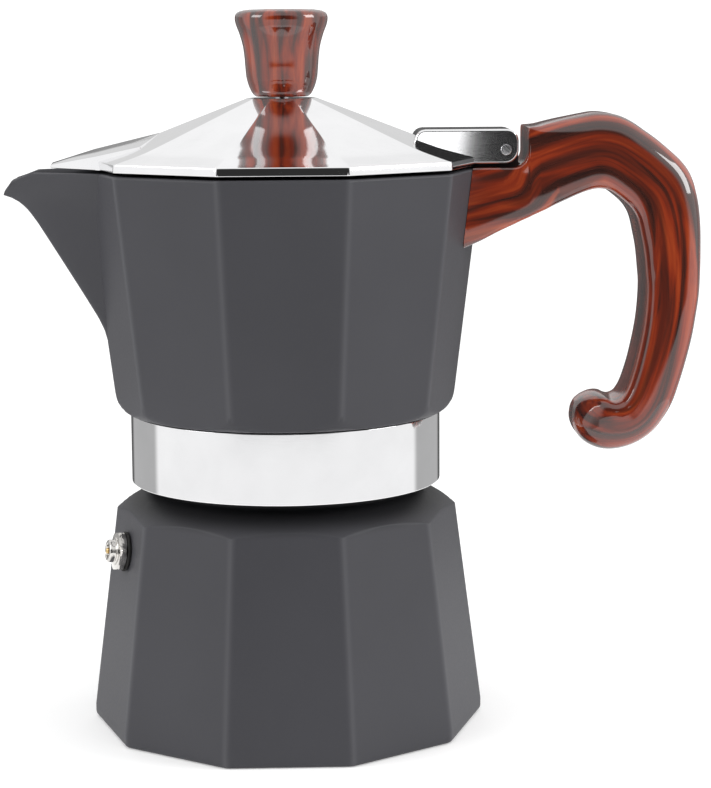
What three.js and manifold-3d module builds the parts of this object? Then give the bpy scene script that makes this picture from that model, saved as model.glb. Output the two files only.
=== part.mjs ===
// Three-cup stovetop coffee maker: a ten-sided boiler with a lift-out coffee funnel, a screw-on
// ten-sided jug with a hook handle, and a hinged lid. Millimetres, +Z up. The origin is the centre
// of the boiler's flat underside, the spout points along -X and the handle along +X.
import * as THREE from 'three';
import { ConvexGeometry } from 'three/addons/geometries/ConvexGeometry.js';
import { LoftGeometry } from 'three/addons/geometries/LoftGeometry.js';
import { mergeVertices } from 'three/addons/utils/BufferGeometryUtils.js';
import Module from 'manifold-3d';

const wasm = await Module();
wasm.setup();

// ---- Driving dimensions -------------------------------------------------------------------

const FACETS = 10;                 // sides of boiler, jug and lid, with a corner on the X axis
const ROUND = 40;                  // sides of a large round wall
const SMALL_ROUND = 16;            // sides of a small round wall
const MIDDLE = Math.cos(Math.PI / FACETS);   // facet middle radius over corner radius
const GAP = 0.3;                   // space kept between pieces that touch

const FOOT = { r: 45.9, z: 3, rounding: 1.3 };   // widest corner of the boiler, and its lower edge
const SHOULDER = { r: 39.8, z: 50.5 };       // corner where a facet meets the sloping shoulder
const SHOULDER_SLOPE = 0.61;
const WALL = 2.9;                  // cast wall of boiler and jug
const NECK_R = 31.2;
const NECK_BORE = 27.2;
const NECK_TOP = 68;

const THREAD = { pitch: 3, turns: 2.25, ridge: 0.9, bottom: 58.6 };
const COLLAR = { bottom: 57.1, bore: 33.3, outer: 34.7, top: 73.8 };
const BAND = { inner: 35, outer: 36, bottom: 57.4, top: 73.5 };

const RIM_Z = 129.4;               // jug rim
const RIM_R = 46.1;                // corner radius of the jug at its rim
const WAIST = { r: 39.5, z: 75.9 };  // corner radius of the jug just above the collar
const JUG_FLOOR = 79.5;

const SPOUT_HALF_ANGLE = Math.PI / 7.5;      // half of the V between the spout's flanks
const SPOUT_NOSE = 1.6;            // rounding of the V's apex
const SPOUT_TIP = { x: -64.2, z: 124.1 };
const LIP = { fallX: -55.5, bendX: -62 };    // where the level lip starts to fall, and its bend

const HINGE = { x: 50.9, z: 133.65, pin: 1.3, hole: 1.6, lug: 3.1 };
const ARM = { left: 30, right: 53.8, bottom: 130.45, top: 138.4, half: 7, slot: 4 };
const TANG = { half: 3.6, bottom: 124.5, top: 128.8, end: 65 };

const LID = { skirtR: 45.9, bottom: 130.2, skirtTop: 132, top: 145.6, topR: 8, wall: 1.6 };
const HANDLE_HALF = 9.8;
const RECESS = { floor: 129.65, wall: 55.75, lip: 139 };
const HANDLE_SCREW = { x: 57, head: 120.1, seat: 122.2 };

const GASKET = { inner: 25, outer: 31.9, bottom: 69.6, top: 73.2 };
const FUNNEL = { outer: 26.7, wall: 1, rimR: 30.5, rimTop: 69.3, floor: 48.6, stemR: 4.6, stemEnd: 7 };
const STANDPIPE = { bore: 3.3, foot: 7.2, spigot: 5, topR: 4.6, bottom: 77.8, top: 112 };

const VALVE = { z: 42.4, facet: 5, hexR: 4.87, shank: 3.2, bore: 2.1, nipple: 2.6, inner: -6.5 };

const KNOB_FOOT = 145.95;

const COLOURS = {
  paint: { color: 0x55565b, roughness: 0.55, metalness: 0.2 },
  bareAluminium: { color: 0xb9bbbd, roughness: 0.38, metalness: 0.9 },
  polished: { color: 0xe8e8ea, roughness: 0.1, metalness: 1 },
  steel: { color: 0xc4c6c9, roughness: 0.25, metalness: 1 },
  brass: { color: 0xb89a5a, roughness: 0.35, metalness: 1 },
  rubber: { color: 0xe2ded2, roughness: 0.8, metalness: 0 },
  fibre: { color: 0x2b2a29, roughness: 0.9, metalness: 0 },
  wood: { color: 0x8a3b22, roughness: 0.35, metalness: 0 },
};

// ---- Solids --------------------------------------------------------------------------------

/** Signed volume of an indexed triangle list, positive where the faces point outwards. */
function signedVolume(position, triangles) {
  const [a, b, c] = [new THREE.Vector3(), new THREE.Vector3(), new THREE.Vector3()];
  let total = 0;
  for (let i = 0; i < triangles.length; i += 3) {
    a.fromBufferAttribute(position, triangles[i]);
    b.fromBufferAttribute(position, triangles[i + 1]);
    c.fromBufferAttribute(position, triangles[i + 2]);
    total += a.dot(b.cross(c)) / 6;
  }
  return total;
}

/** A closed three.js geometry as a manifold solid. */
function solidOf(geometry) {
  const bare = new THREE.BufferGeometry().copy(geometry);
  bare.deleteAttribute('normal');
  bare.deleteAttribute('uv');
  const merged = mergeVertices(bare, 1e-4);
  const position = merged.attributes.position;
  const triangles = [];
  for (let i = 0; i < merged.index.count; i += 3) {
    const corners = [0, 1, 2].map((k) => merged.index.getX(i + k));
    if (new Set(corners).size === 3) {
      triangles.push(...corners);
    }
  }
  if (signedVolume(position, triangles) < 0) {
    triangles.reverse();
  }
  return new wasm.Manifold(new wasm.Mesh({
    numProp: 3,
    vertProperties: Float32Array.from(position.array),
    triVerts: Uint32Array.from(triangles),
  }));
}

/** Joins any number of solids. */
const union = (...solids) => solids.reduce((sum, solid) => sum.add(solid));

/** Takes every cutter from the first solid. */
const cut = (solid, ...cutters) => cutters.reduce((rest, cutter) => rest.subtract(cutter), solid);

/** Geometry turned about Z from [radius, height] points; a corner of its outline lies on +X. */
function turnedGeometry(profile, sides = ROUND) {
  const points = profile.map(([radius, height]) => new THREE.Vector2(radius, height));
  return new THREE.LatheGeometry(points, sides, Math.PI / 2).rotateX(Math.PI / 2);
}

const turned = (profile, sides) => solidOf(turnedGeometry(profile, sides));

/** A plain ring or tube between two radii and two heights. */
const ring = (inner, outer, bottom, top, sides = ROUND) => turned(
  [[inner, bottom], [outer, bottom], [outer, top], [inner, top], [inner, bottom]], sides);

/** A plain round plug between two heights. */
const plug = (radius, bottom, top, sides = SMALL_ROUND) => turned(
  [[0, bottom], [radius, bottom], [radius, top], [0, top]], sides);

/** A box from its lowest and highest corners. */
function box(low, high) {
  const size = high.map((value, axis) => value - low[axis]);
  const geometry = new THREE.BoxGeometry(...size);
  geometry.translate(...high.map((value, axis) => (value + low[axis]) / 2));
  return solidOf(geometry);
}

/** The outline as straight steps, without the doubled points where its curves join. */
function stepped(shape) {
  const points = shape.getPoints(4);
  return new THREE.Shape(points.filter((point, i) => point.distanceTo(points.at(i - 1)) > 1e-3));
}

/** A side view in X and Z, given as a THREE.Shape, with half its width each side of Y = 0. */
function slab(shape, half, rounding = 0) {
  const options = { depth: 2 * (half - rounding), bevelEnabled: rounding > 0 };
  if (rounding > 0) {
    const bevel = { bevelThickness: rounding, bevelSize: rounding, bevelOffset: -rounding };
    Object.assign(options, bevel, { bevelSegments: 2 });
  }
  const geometry = new THREE.ExtrudeGeometry(stepped(shape), options);
  geometry.translate(0, 0, -(half - rounding)).rotateX(Math.PI / 2);
  return solidOf(geometry);
}

/** The hull round a list of [x, y, z] points that is mirrored across Y = 0. */
function mirroredHull(points) {
  const both = points.flatMap(([x, y, z]) => [new THREE.Vector3(x, y, z), new THREE.Vector3(x, -y, z)]);
  return solidOf(new ConvexGeometry(both));
}

/** A helix about the Z axis. */
class Helix extends THREE.Curve {
  constructor(radius, bottom, pitch, turns) {
    super();
    Object.assign(this, { radius, bottom, pitch, turns });
  }

  getPoint(t, target = new THREE.Vector3()) {
    const angle = 2 * Math.PI * this.turns * t;
    const height = this.bottom + this.pitch * this.turns * t;
    return target.set(this.radius * Math.cos(angle), this.radius * Math.sin(angle), height);
  }
}

/** A round wire or thread ridge along a helix. */
function coiled(helix, wire, stepsPerTurn, sides) {
  const section = new THREE.Shape();
  section.absarc(0, 0, wire, 0, 2 * Math.PI);
  const steps = Math.round(helix.turns * stepsPerTurn);
  const options = { extrudePath: helix, steps, curveSegments: sides / 2, bevelEnabled: false };
  return solidOf(new THREE.ExtrudeGeometry(section, options));
}

// ---- Shared shapes -------------------------------------------------------------------------

const BOILER_TAPER = (FOOT.r - SHOULDER.r) / (SHOULDER.z - FOOT.z);
const JUG_TAPER = (RIM_R - WAIST.r) / (RIM_Z - WAIST.z);

/** Corner radius of the boiler's facets at a height. */
const boilerRadius = (z) => FOOT.r - BOILER_TAPER * (z - FOOT.z);

/** Corner radius of the jug's facets at a height. */
const jugRadius = (z) => RIM_R - JUG_TAPER * (RIM_Z - z);

/** Quarter-round points from a flat underside up to a wall. */
function footRounding(radius, bottom, size, steps = 3) {
  const points = [];
  for (let i = 0; i <= steps; i += 1) {
    const angle = (i / steps) * Math.PI / 2;
    points.push([radius - size + size * Math.sin(angle), bottom + size - size * Math.cos(angle)]);
  }
  return points;
}

/** The boiler's outside, facets and sloping shoulder, up to a height inside the neck. */
function boilerOutside() {
  const facets = turned([
    [0, 0],
    ...footRounding(FOOT.r, 0, FOOT.rounding),
    [FOOT.r, FOOT.z],
    [boilerRadius(SHOULDER.z + 5), SHOULDER.z + 5],
    [0, SHOULDER.z + 5],
  ], FACETS);
  const coneBottom = 40;
  const neckMeets = SHOULDER.z + SHOULDER_SLOPE * (SHOULDER.r - NECK_R);
  const cone = turned([
    [0, -1],
    [60, -1],
    [60, coneBottom - 1],
    [SHOULDER.r + (SHOULDER.z - coneBottom) / SHOULDER_SLOPE, coneBottom],
    [NECK_R, neckMeets],
    [0, neckMeets],
  ]);
  return facets.intersect(cone);
}

/** The space inside the boiler, open at the top of the neck. */
function boilerInside() {
  const floor = 3;
  const shoulderZ = 48.3;
  const shoulderR = MIDDLE * boilerRadius(shoulderZ) - WALL + 0.4;
  return turned([
    [0, floor],
    ...footRounding(MIDDLE * boilerRadius(5) - WALL, floor, 3),
    [shoulderR, shoulderZ],
    [NECK_BORE, shoulderZ + SHOULDER_SLOPE * (shoulderR - NECK_BORE)],
    [NECK_BORE, NECK_TOP + 1],
    [0, NECK_TOP + 1],
  ]);
}

/** Moves a shape from the valve's own frame, +Z outwards from the facet, to the boiler. */
function valvePlace() {
  const angle = (VALVE.facet + 0.5) * 2 * Math.PI / FACETS;
  const tilt = Math.atan(BOILER_TAPER * MIDDLE);
  const radius = MIDDLE * boilerRadius(VALVE.z);
  const out = new THREE.Vector3(Math.cos(angle) * Math.cos(tilt), Math.sin(angle) * Math.cos(tilt),
    Math.sin(tilt));
  const place = new THREE.Object3D();
  place.position.set(radius * Math.cos(angle), radius * Math.sin(angle), VALVE.z);
  place.quaternion.setFromUnitVectors(new THREE.Vector3(0, 0, 1), out);
  place.updateMatrix();
  return place;
}

/** A plug in the valve's own frame, placed on the boiler. */
function valvePlug(radius, bottom, top) {
  const profile = [[0, bottom], [radius, bottom], [radius, top], [0, top]];
  return solidOf(turnedGeometry(profile, SMALL_ROUND).applyMatrix4(valvePlace().matrix));
}

// ---- Boiler group --------------------------------------------------------------------------

function boiler() {
  const neck = turned([
    [0, SHOULDER.z],
    [NECK_R, SHOULDER.z],
    [NECK_R, NECK_TOP - 0.8],
    [NECK_R - 0.8, NECK_TOP],
    [0, NECK_TOP],
  ]);
  const thread = coiled(new Helix(NECK_R, THREAD.bottom, THREAD.pitch, THREAD.turns), THREAD.ridge, 32, 6);
  const boss = valvePlug(6.5, -5.5, -1);
  const outside = union(boilerOutside(), neck, thread);
  return cut(union(cut(outside, boilerInside()), boss), valvePlug(VALVE.shank + GAP, -9, 3));
}

/** Hexagon, threaded shank and nipple of the safety valve, with the spring's bore inside. */
function valveBody() {
  const hexagon = turned([
    [0, 1.05],
    [VALVE.hexR, 1.05],
    [VALVE.hexR, 2.3],
    [VALVE.hexR - 0.6, 2.8],
    [0, 2.8],
  ], 6);
  const shank = turned([
    [0, VALVE.inner],
    [VALVE.shank, VALVE.inner],
    [VALVE.shank, 1.5],
    [VALVE.nipple, 2.5],
    [VALVE.nipple, 4.1],
    [VALVE.nipple - 0.5, 4.6],
    [0, 4.6],
  ], SMALL_ROUND);
  return cut(union(hexagon, shank), plug(VALVE.bore, VALVE.inner - 1, 3.4), plug(0.95, 3, 5));
}

const valveSeal = () => ring(VALVE.shank + GAP, 4.6, 0.25, 0.8, SMALL_ROUND);

const valveSeat = () => ring(0.9, VALVE.bore - GAP, VALVE.inner + 0.2, VALVE.inner + 1.4, SMALL_ROUND);

const valvePin = () => turned([
  [0, -4.85],
  [1.1, -4.85],
  [1.6, -4.4],
  [1.6, -4],
  [0.65, -4],
  [0.65, 4.7],
  [0.4, 4.95],
  [0, 4.95],
], SMALL_ROUND);

const valveSpring = () => coiled(new Helix(1.3, -3.7, 1.3, 5), 0.22, 10, 6);

// ---- Coffee group --------------------------------------------------------------------------

/** Basket, sloping bottom and stem in one turned shell. */
function coffeeFunnel() {
  const inner = FUNNEL.outer - FUNNEL.wall;
  const stemBore = FUNNEL.stemR - FUNNEL.wall;
  const throat = FUNNEL.floor - 6;
  return turned([
    [stemBore, FUNNEL.stemEnd],
    [FUNNEL.stemR, FUNNEL.stemEnd],
    [FUNNEL.stemR, throat - 0.6],
    [FUNNEL.outer, FUNNEL.floor - 0.6],
    [FUNNEL.outer, FUNNEL.rimTop - 1],
    [FUNNEL.rimR, FUNNEL.rimTop - 1],
    [FUNNEL.rimR, FUNNEL.rimTop],
    [inner, FUNNEL.rimTop],
    [inner, FUNNEL.floor],
    [stemBore, throat + 0.6],
    [stemBore, FUNNEL.stemEnd],
  ]);
}

/** Places of a hexagonal field of holes: one in the middle, then rings of 6, 12, 18 and so on. */
function holeField(rings, spacing) {
  const places = [[0, 0]];
  for (let step = 1; step <= rings; step += 1) {
    for (let side = 0; side < 6; side += 1) {
      const from = side * Math.PI / 3;
      const along = from + 2 * Math.PI / 3;
      for (let k = 0; k < step; k += 1) {
        places.push([
          spacing * (step * Math.cos(from) + k * Math.cos(along)),
          spacing * (step * Math.sin(from) + k * Math.sin(along)),
        ]);
      }
    }
  }
  return places;
}

/** A solid with a field of round holes cut through it. */
function perforated(solid, rings, spacing, radius, bottom, top) {
  const drills = holeField(rings, spacing).map(([x, y]) => {
    const profile = [[0, bottom], [radius, bottom], [radius, top], [0, top]];
    return solidOf(turnedGeometry(profile, 6).translate(x, y, 0));
  });
  return cut(solid, ...drills);
}

function funnelStrainer() {
  const bottom = FUNNEL.floor + GAP;
  const disc = plug(FUNNEL.outer - FUNNEL.wall - GAP, bottom, bottom + 0.8, ROUND);
  return perforated(disc, 3, 6.4, 0.9, bottom - 1, bottom + 2);
}

const gasket = () => ring(GASKET.inner, GASKET.outer, GASKET.bottom, GASKET.top);

/** Perforated plate whose rim lies on the gasket and whose middle dips through it. */
function filterPlate() {
  const dish = GASKET.inner - GAP;
  const rim = GASKET.top + GAP;
  const dip = GASKET.bottom + 0.8;
  const plate = turned([
    [0, dip],
    [dish, dip],
    [dish, rim],
    [31, rim],
    [31, rim + 0.6],
    [dish - 0.7, rim + 0.6],
    [dish - 0.7, dip + 0.7],
    [0, dip + 0.7],
  ]);
  return perforated(plate, 3, 6, 0.9, dip - 1, dip + 2);
}

// ---- Jug group -----------------------------------------------------------------------------

/** How far the spout's keel stands out at a height. */
const KEEL = new THREE.CatmullRomCurve3([
  [-40.6, 88], [-41.8, 92.4], [-46.4, 100.8], [-56.6, 117.5], [-60.4, 122.1],
  [SPOUT_TIP.x, SPOUT_TIP.z], [-70, 127.5], [-75, 131],
].map(([x, z]) => new THREE.Vector3(x, 0, z)));

/** A V-shaped level section of the spout, its apex rounded, reaching in to a depth. */
function spoutSection(keelX, z, inset, nose, depth) {
  const apex = keelX - nose * (1 / Math.sin(SPOUT_HALF_ANGLE) - 1) + inset / Math.sin(SPOUT_HALF_ANGLE);
  const half = Math.max((depth - apex) * Math.tan(SPOUT_HALF_ANGLE), 0.2);
  const centre = apex + nose / Math.sin(SPOUT_HALF_ANGLE);
  const points = [new THREE.Vector3(depth, -half, z)];
  const sweep = Math.PI / 2 - SPOUT_HALF_ANGLE;
  for (let i = -2; i <= 2; i += 1) {
    const angle = Math.PI - (i / 2) * sweep;
    points.push(new THREE.Vector3(centre + nose * Math.cos(angle), nose * Math.sin(angle), z));
  }
  points.push(new THREE.Vector3(depth, half, z));
  return points.reverse();
}

/** The spout's V as a solid: the outside with no inset, the channel with the wall as inset. */
function spoutWedge(inset, nose, depth, steps = 10) {
  const sections = KEEL.getPoints(steps).map((keel) => spoutSection(keel.x, keel.z, inset, nose, depth));
  return solidOf(new LoftGeometry(sections, { capStart: true, capEnd: true }));
}

/** Everything under the spout's lip, as seen from the side. */
function underLip() {
  const shape = new THREE.Shape();
  shape.moveTo(-30, 80);
  shape.lineTo(-30, RIM_Z);
  shape.lineTo(LIP.fallX, RIM_Z);
  shape.quadraticCurveTo(LIP.bendX, RIM_Z, SPOUT_TIP.x, SPOUT_TIP.z);
  shape.lineTo(-72, 116);
  shape.lineTo(-72, 80);
  return slab(shape, 20);
}

/** The jug's outside: facets above, drawn in to the round collar below. */
function jugOutside() {
  const facets = turned([
    [0, COLLAR.top - 0.01],
    [jugRadius(COLLAR.top), COLLAR.top - 0.01],
    [RIM_R, RIM_Z],
    [0, RIM_Z],
  ], FACETS);
  const envelope = turned([
    [0, COLLAR.top - 1],
    [BAND.outer, COLLAR.top - 1],
    [BAND.outer, COLLAR.top],
    [37.5, 74.2],
    [38.7, 75.1],
    [39.3, 76.3],
    [jugRadius(78), 78],
    [60, 90],
    [60, RIM_Z + 1],
    [0, RIM_Z + 1],
  ]);
  return facets.intersect(envelope);
}

/** The jug's ten-sided inside, open at the rim. */
function jugInside() {
  const inset = WALL / MIDDLE;
  return turned([
    [0, JUG_FLOOR],
    [jugRadius(JUG_FLOOR) - inset - 3, JUG_FLOOR],
    [jugRadius(JUG_FLOOR + 2.5) - inset, JUG_FLOOR + 2.5],
    [jugRadius(RIM_Z + 1) - inset, RIM_Z + 1],
    [0, RIM_Z + 1],
  ], FACETS);
}

/** The hinge lug above the rim and the tang that the handle slides over, in one plate. */
function hingeLug() {
  const shape = new THREE.Shape();
  shape.moveTo(43.6, 120);
  shape.lineTo(47, 120);
  shape.lineTo(50, TANG.bottom);
  shape.lineTo(TANG.end, TANG.bottom);
  shape.lineTo(TANG.end, TANG.top);
  shape.lineTo(HINGE.x + HINGE.lug, TANG.top);
  shape.absarc(HINGE.x, HINGE.z, HINGE.lug, 0, Math.PI * 0.75);
  shape.lineTo(43.6, RIM_Z + 0.4);
  return slab(shape, TANG.half);
}

/** A plug along Y through the hinge axis. */
function hingeBore(radius, half) {
  const shape = new THREE.Shape();
  shape.absarc(HINGE.x, HINGE.z, radius, 0, 2 * Math.PI);
  return slab(shape, half);
}

/** The jug casting: facets, spout, threaded collar, hinge lug and the tang for the handle. */
function jug() {
  const collar = ring(COLLAR.bore, COLLAR.outer, COLLAR.bottom, COLLAR.top + 1);
  const helix = new Helix(COLLAR.bore + 0.1, THREAD.bottom + THREAD.pitch / 2, THREAD.pitch, THREAD.turns);
  const thread = coiled(helix, THREAD.ridge, 32, 6).intersect(plug(34.5, COLLAR.bottom, COLLAR.top, ROUND));
  const recess = turned([
    [0, COLLAR.top - 2],
    [COLLAR.bore, COLLAR.top - 2],
    [COLLAR.bore, COLLAR.top + GAP + 0.3],
    [24, COLLAR.top + GAP + 0.3],
    [6, 77],
    [0, 77],
  ]);
  const spout = cut(spoutWedge(0, SPOUT_NOSE, -38), boxAbove(RIM_Z + 1)).intersect(underLip());
  const body = union(jugOutside(), collar, spout, hingeLug());
  const screwHole = plug(2.2, TANG.bottom - 1, TANG.top + 1).translate(HANDLE_SCREW.x, 0, 0);
  const hollow = cut(body, jugInside(), spoutWedge(1.7, 0.8, -34), recess,
    plug(STANDPIPE.spigot + GAP, 70, 85), screwHole, hingeBore(HINGE.hole, 8));
  return union(hollow, thread);
}

/** A large box over everything above a height. */
const boxAbove = (z) => box([-100, -100, z], [100, 100, z + 60]);

const collarBand = () => turned([
  [BAND.inner, BAND.bottom],
  [BAND.outer - 0.3, BAND.bottom],
  [BAND.outer, BAND.bottom + 0.3],
  [BAND.outer, BAND.top],
  [BAND.inner, BAND.top],
  [BAND.inner, BAND.bottom],
]);

/** The column that the coffee rises through, with a foot that sits on the jug's floor. */
const standpipe = () => turned([
  [STANDPIPE.bore, STANDPIPE.bottom],
  [STANDPIPE.spigot, STANDPIPE.bottom],
  [STANDPIPE.spigot, JUG_FLOOR + GAP],
  [STANDPIPE.foot, JUG_FLOOR + GAP],
  [STANDPIPE.foot, JUG_FLOOR + 2],
  [STANDPIPE.spigot + 0.6, JUG_FLOOR + 4.5],
  [STANDPIPE.topR, STANDPIPE.top],
  [STANDPIPE.bore, STANDPIPE.top],
  [STANDPIPE.bore, STANDPIPE.bottom],
], SMALL_ROUND);

/** Domed cap over the column, with two windows in its skirt that let the coffee out. */
function standpipeCap() {
  const skirt = STANDPIPE.topR + GAP + 0.1;
  const cap = turned([
    [skirt, 106],
    [skirt + 1.3, 106],
    [skirt + 1.3, 117],
    [4.4, 119.2],
    [0, 120],
    [0, 118],
    [skirt, 116.5],
    [skirt, 106],
  ], SMALL_ROUND);
  return cut(cap, box([-2.4, -9, 112.4], [2.4, 9, 116.2]));
}

/** Side view of the hook handle, from its seat on the jug round to the curled end. */
function handleShape() {
  const shape = new THREE.Shape();
  const through = (points) => shape.splineThru(points.map(([x, z]) => new THREE.Vector2(x, z)));
  shape.moveTo(42, 111.7);
  shape.lineTo(42, RECESS.floor);
  shape.absarc(RECESS.wall - 3.4, RECESS.floor + 3.4, 3.4, -Math.PI / 2, 0);
  shape.lineTo(RECESS.wall, RECESS.lip);
  shape.lineTo(57.4, RECESS.lip);
  through([[63.2, 140.4], [71.5, 141.9], [79.9, 139.8], [88.2, 133.7], [93.8, 127], [96, 117]]);
  through([[96, 103], [94.3, 90], [90.6, 76.5], [84, 67.2]]);
  through([[79.5, 64.5], [74.2, 63.6], [69, 66], [66.7, 71], [69.4, 76.3], [74.2, 76.4], [77.6, 75.5]]);
  through([[79.6, 78.5], [82, 87.5], [83.7, 102], [82.3, 114], [78.2, 122]]);
  through([[74, 124.7], [69.5, 124.4], [63, 121.7]]);
  return shape;
}

/** The hook handle, hollowed for the jug's tang, cut to the jug's corner and drilled for its screw. */
function handle() {
  const grown = (radius) => radius + GAP / MIDDLE;
  const jugCorner = turned([
    [0, 100],
    [grown(jugRadius(100)), 100],
    [grown(jugRadius(140)), 140],
    [0, 140],
  ], FACETS);
  const side = TANG.half + GAP;
  const slot = box([40, -side, 119.5], [50.5, side, 135]);
  const lugSlot = box([40, -side, TANG.bottom - GAP], [HINGE.x + HINGE.lug + 0.5, side, 135]);
  const pocket = box([40, -side, TANG.bottom - GAP], [TANG.end + GAP, side, TANG.top + GAP]);
  const counterbore = plug(3.9, 112, HANDLE_SCREW.seat + GAP).translate(HANDLE_SCREW.x, 0, 0);
  const screwHole = plug(2.3, 112, TANG.bottom + 1).translate(HANDLE_SCREW.x, 0, 0);
  return cut(slab(handleShape(), HANDLE_HALF, 2), jugCorner, slot, lugSlot, pocket, counterbore,
    screwHole);
}

/** Slotted screw from under the handle into the tang. */
function handleScrew() {
  const screw = turned([
    [0, HANDLE_SCREW.head],
    [3, HANDLE_SCREW.head],
    [3.4, HANDLE_SCREW.head + 0.5],
    [3.4, HANDLE_SCREW.seat],
    [1.9, HANDLE_SCREW.seat],
    [1.9, TANG.top - 0.5],
    [0, TANG.top - 0.5],
  ], SMALL_ROUND);
  const slot = box([-0.5, -4, HANDLE_SCREW.head - 1], [0.5, 4, HANDLE_SCREW.head + 0.9]);
  return cut(screw, slot).translate(HANDLE_SCREW.x, 0, 0);
}

const hingePin = () => hingeBore(HINGE.pin, ARM.half + 0.3);

// ---- Lid group -----------------------------------------------------------------------------

/** Slightly hollow ten-sided pyramid profile, with an inset for its inside. */
const lidProfile = (inset) => [
  [LID.skirtR - 1.4 * inset, LID.skirtTop - 0.5 * inset],
  [37.6 - inset / 2, 134.3 - inset],
  [12.2, 144 - inset],
  [LID.topR, LID.top - inset],
];

/** The beak that covers the spout: a low ridge whose sides fall to an edge above the lip. */
function lidBeak(inset) {
  const low = LID.bottom - (inset > 0 ? 1 : 0);
  return mirroredHull([
    [-28 + inset, 0, 137.9 - inset],
    [-43, 0, 134.3 - inset],
    [-53 + 2 * inset, 0, 131.2 - 0.6 * inset],
    [-53 + 2 * inset, 3.6 - 0.6 * inset, 130.8 - 0.4 * inset],
    [-42, 12 - inset, 133.1 - inset],
    [-32, 12 - inset, 135.2 - inset],
    [-53 + 2 * inset, 4.2 - 0.6 * inset, low],
    [-41, 15.6 - inset, low],
    [-32, 15.6 - inset, low],
  ]);
}

/** Outline of the hinge arm from the side. */
function armShape() {
  const shape = new THREE.Shape();
  const corner = 3.2;
  shape.moveTo(ARM.left, ARM.top);
  shape.lineTo(ARM.left, ARM.bottom);
  shape.absarc(ARM.right - corner, ARM.bottom + corner, corner, -Math.PI / 2, 0);
  shape.lineTo(ARM.right, 136.4);
  shape.lineTo(52.2, 137.9);
  shape.lineTo(HINGE.x - 0.6, ARM.top);
  return shape;
}

/** Lid with its beak and hinge arm, hollow underneath, drilled for the knob's screw. */
function lid() {
  const shell = turned([
    [0, LID.bottom],
    [LID.skirtR, LID.bottom],
    ...lidProfile(0),
    [0, LID.top],
  ], FACETS);
  const inside = turned([
    [0, LID.bottom - 1],
    [LID.skirtR - 1.4 * LID.wall, LID.bottom - 1],
    ...lidProfile(LID.wall),
    [0, LID.top - LID.wall],
  ], FACETS);
  const arm = slab(armShape(), ARM.half);
  const armInside = box([ARM.left - 6, -ARM.slot, 128], [42, ARM.slot, 136.6]);
  const lugSpace = box([40, -ARM.slot, 128], [56, ARM.slot, HINGE.z + HINGE.lug + 0.5]);
  const hollow = cut(union(shell, arm, lidBeak(0)), cut(inside, armSkin()), lidBeak(LID.wall / 1.2));
  return cut(hollow, lugSpace, armInside, hingeBore(HINGE.pin + 0.1, 9), plug(2, 140, 150));
}

/** Space round the arm's two side walls that the hollow of the lid leaves solid. */
const armSkin = () => cut(
  box([34, -ARM.half, 125], [60, ARM.half, 150]),
  box([30, -ARM.slot, 120], [61, ARM.slot, 155]),
);

/** Flared knob, hollow at its foot for the threaded insert. */
function knob() {
  const insertHole = 3;
  return turned([
    [insertHole, KNOB_FOOT],
    [5.9, KNOB_FOOT],
    [6.8, 146.8],
    [7.5, 148.2],
    [8.1, 150.4],
    [8.4, 154],
    [8.8, 157.3],
    [9.65, 160.4],
    [10.35, 162.3],
    [10.6, 163.6],
    [10.4, 164.6],
    [9.4, 165.3],
    [7.3, 165.7],
    [0, 165.7],
    [0, 157],
    [insertHole, 157],
    [insertHole, KNOB_FOOT],
  ], 30);
}

const knobInsert = () => ring(1.95, 2.7, KNOB_FOOT + 0.3, 156.4, SMALL_ROUND);

const knobScrew = () => cut(turned([
  [0, 141.1],
  [2.8, 141.1],
  [3.3, 141.6],
  [3.3, 142.9],
  [1.65, 142.9],
  [1.65, 155],
  [0, 155],
], SMALL_ROUND), box([-4, -0.5, 140], [4, 0.5, 141.9]));

const knobWasher = () => ring(2, 4.4, 143.15, 143.7, SMALL_ROUND);

// ---- Scene graph ---------------------------------------------------------------------------

/** A named mesh of a solid with its own material. */
function piece(name, solid, look) {
  const mesh = solid.getMesh();
  const geometry = new THREE.BufferGeometry();
  geometry.setAttribute('position', new THREE.BufferAttribute(mesh.vertProperties, 3));
  geometry.setIndex(new THREE.BufferAttribute(mesh.triVerts, 1));
  geometry.computeVertexNormals();
  const part = new THREE.Mesh(geometry, new THREE.MeshStandardMaterial(look));
  part.name = name;
  return part;
}

/** A group of pieces. */
const assembly = (...pieces) => new THREE.Group().add(...pieces);

const valve = valvePlace().add(
  piece('valve_body', valveBody(), COLOURS.steel),
  piece('valve_seal', valveSeal(), COLOURS.fibre),
  piece('valve_pin', valvePin(), COLOURS.brass),
  piece('valve_spring', valveSpring(), COLOURS.steel),
  piece('valve_seat', valveSeat(), COLOURS.brass),
);

const boilerGroup = assembly(piece('boiler', boiler(), COLOURS.paint), valve);

const coffeeGroup = assembly(
  piece('coffee_funnel', coffeeFunnel(), COLOURS.bareAluminium),
  piece('funnel_strainer', funnelStrainer(), COLOURS.bareAluminium),
  piece('gasket', gasket(), COLOURS.rubber),
  piece('filter_plate', filterPlate(), COLOURS.bareAluminium),
);

const jugGroup = assembly(
  piece('jug', jug(), COLOURS.paint),
  piece('collar_band', collarBand(), COLOURS.polished),
  piece('standpipe', standpipe(), COLOURS.bareAluminium),
  piece('standpipe_cap', standpipeCap(), COLOURS.bareAluminium),
  piece('handle', handle(), COLOURS.wood),
  piece('handle_screw', handleScrew(), COLOURS.steel),
  piece('hinge_pin', hingePin(), COLOURS.steel),
);

const lidGroup = assembly(
  piece('lid', lid(), COLOURS.polished),
  piece('knob', knob(), COLOURS.wood),
  piece('knob_insert', knobInsert(), COLOURS.brass),
  piece('knob_screw', knobScrew(), COLOURS.steel),
  piece('knob_washer', knobWasher(), COLOURS.steel),
);

export default assembly(boilerGroup, coffeeGroup, jugGroup, lidGroup);
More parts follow.
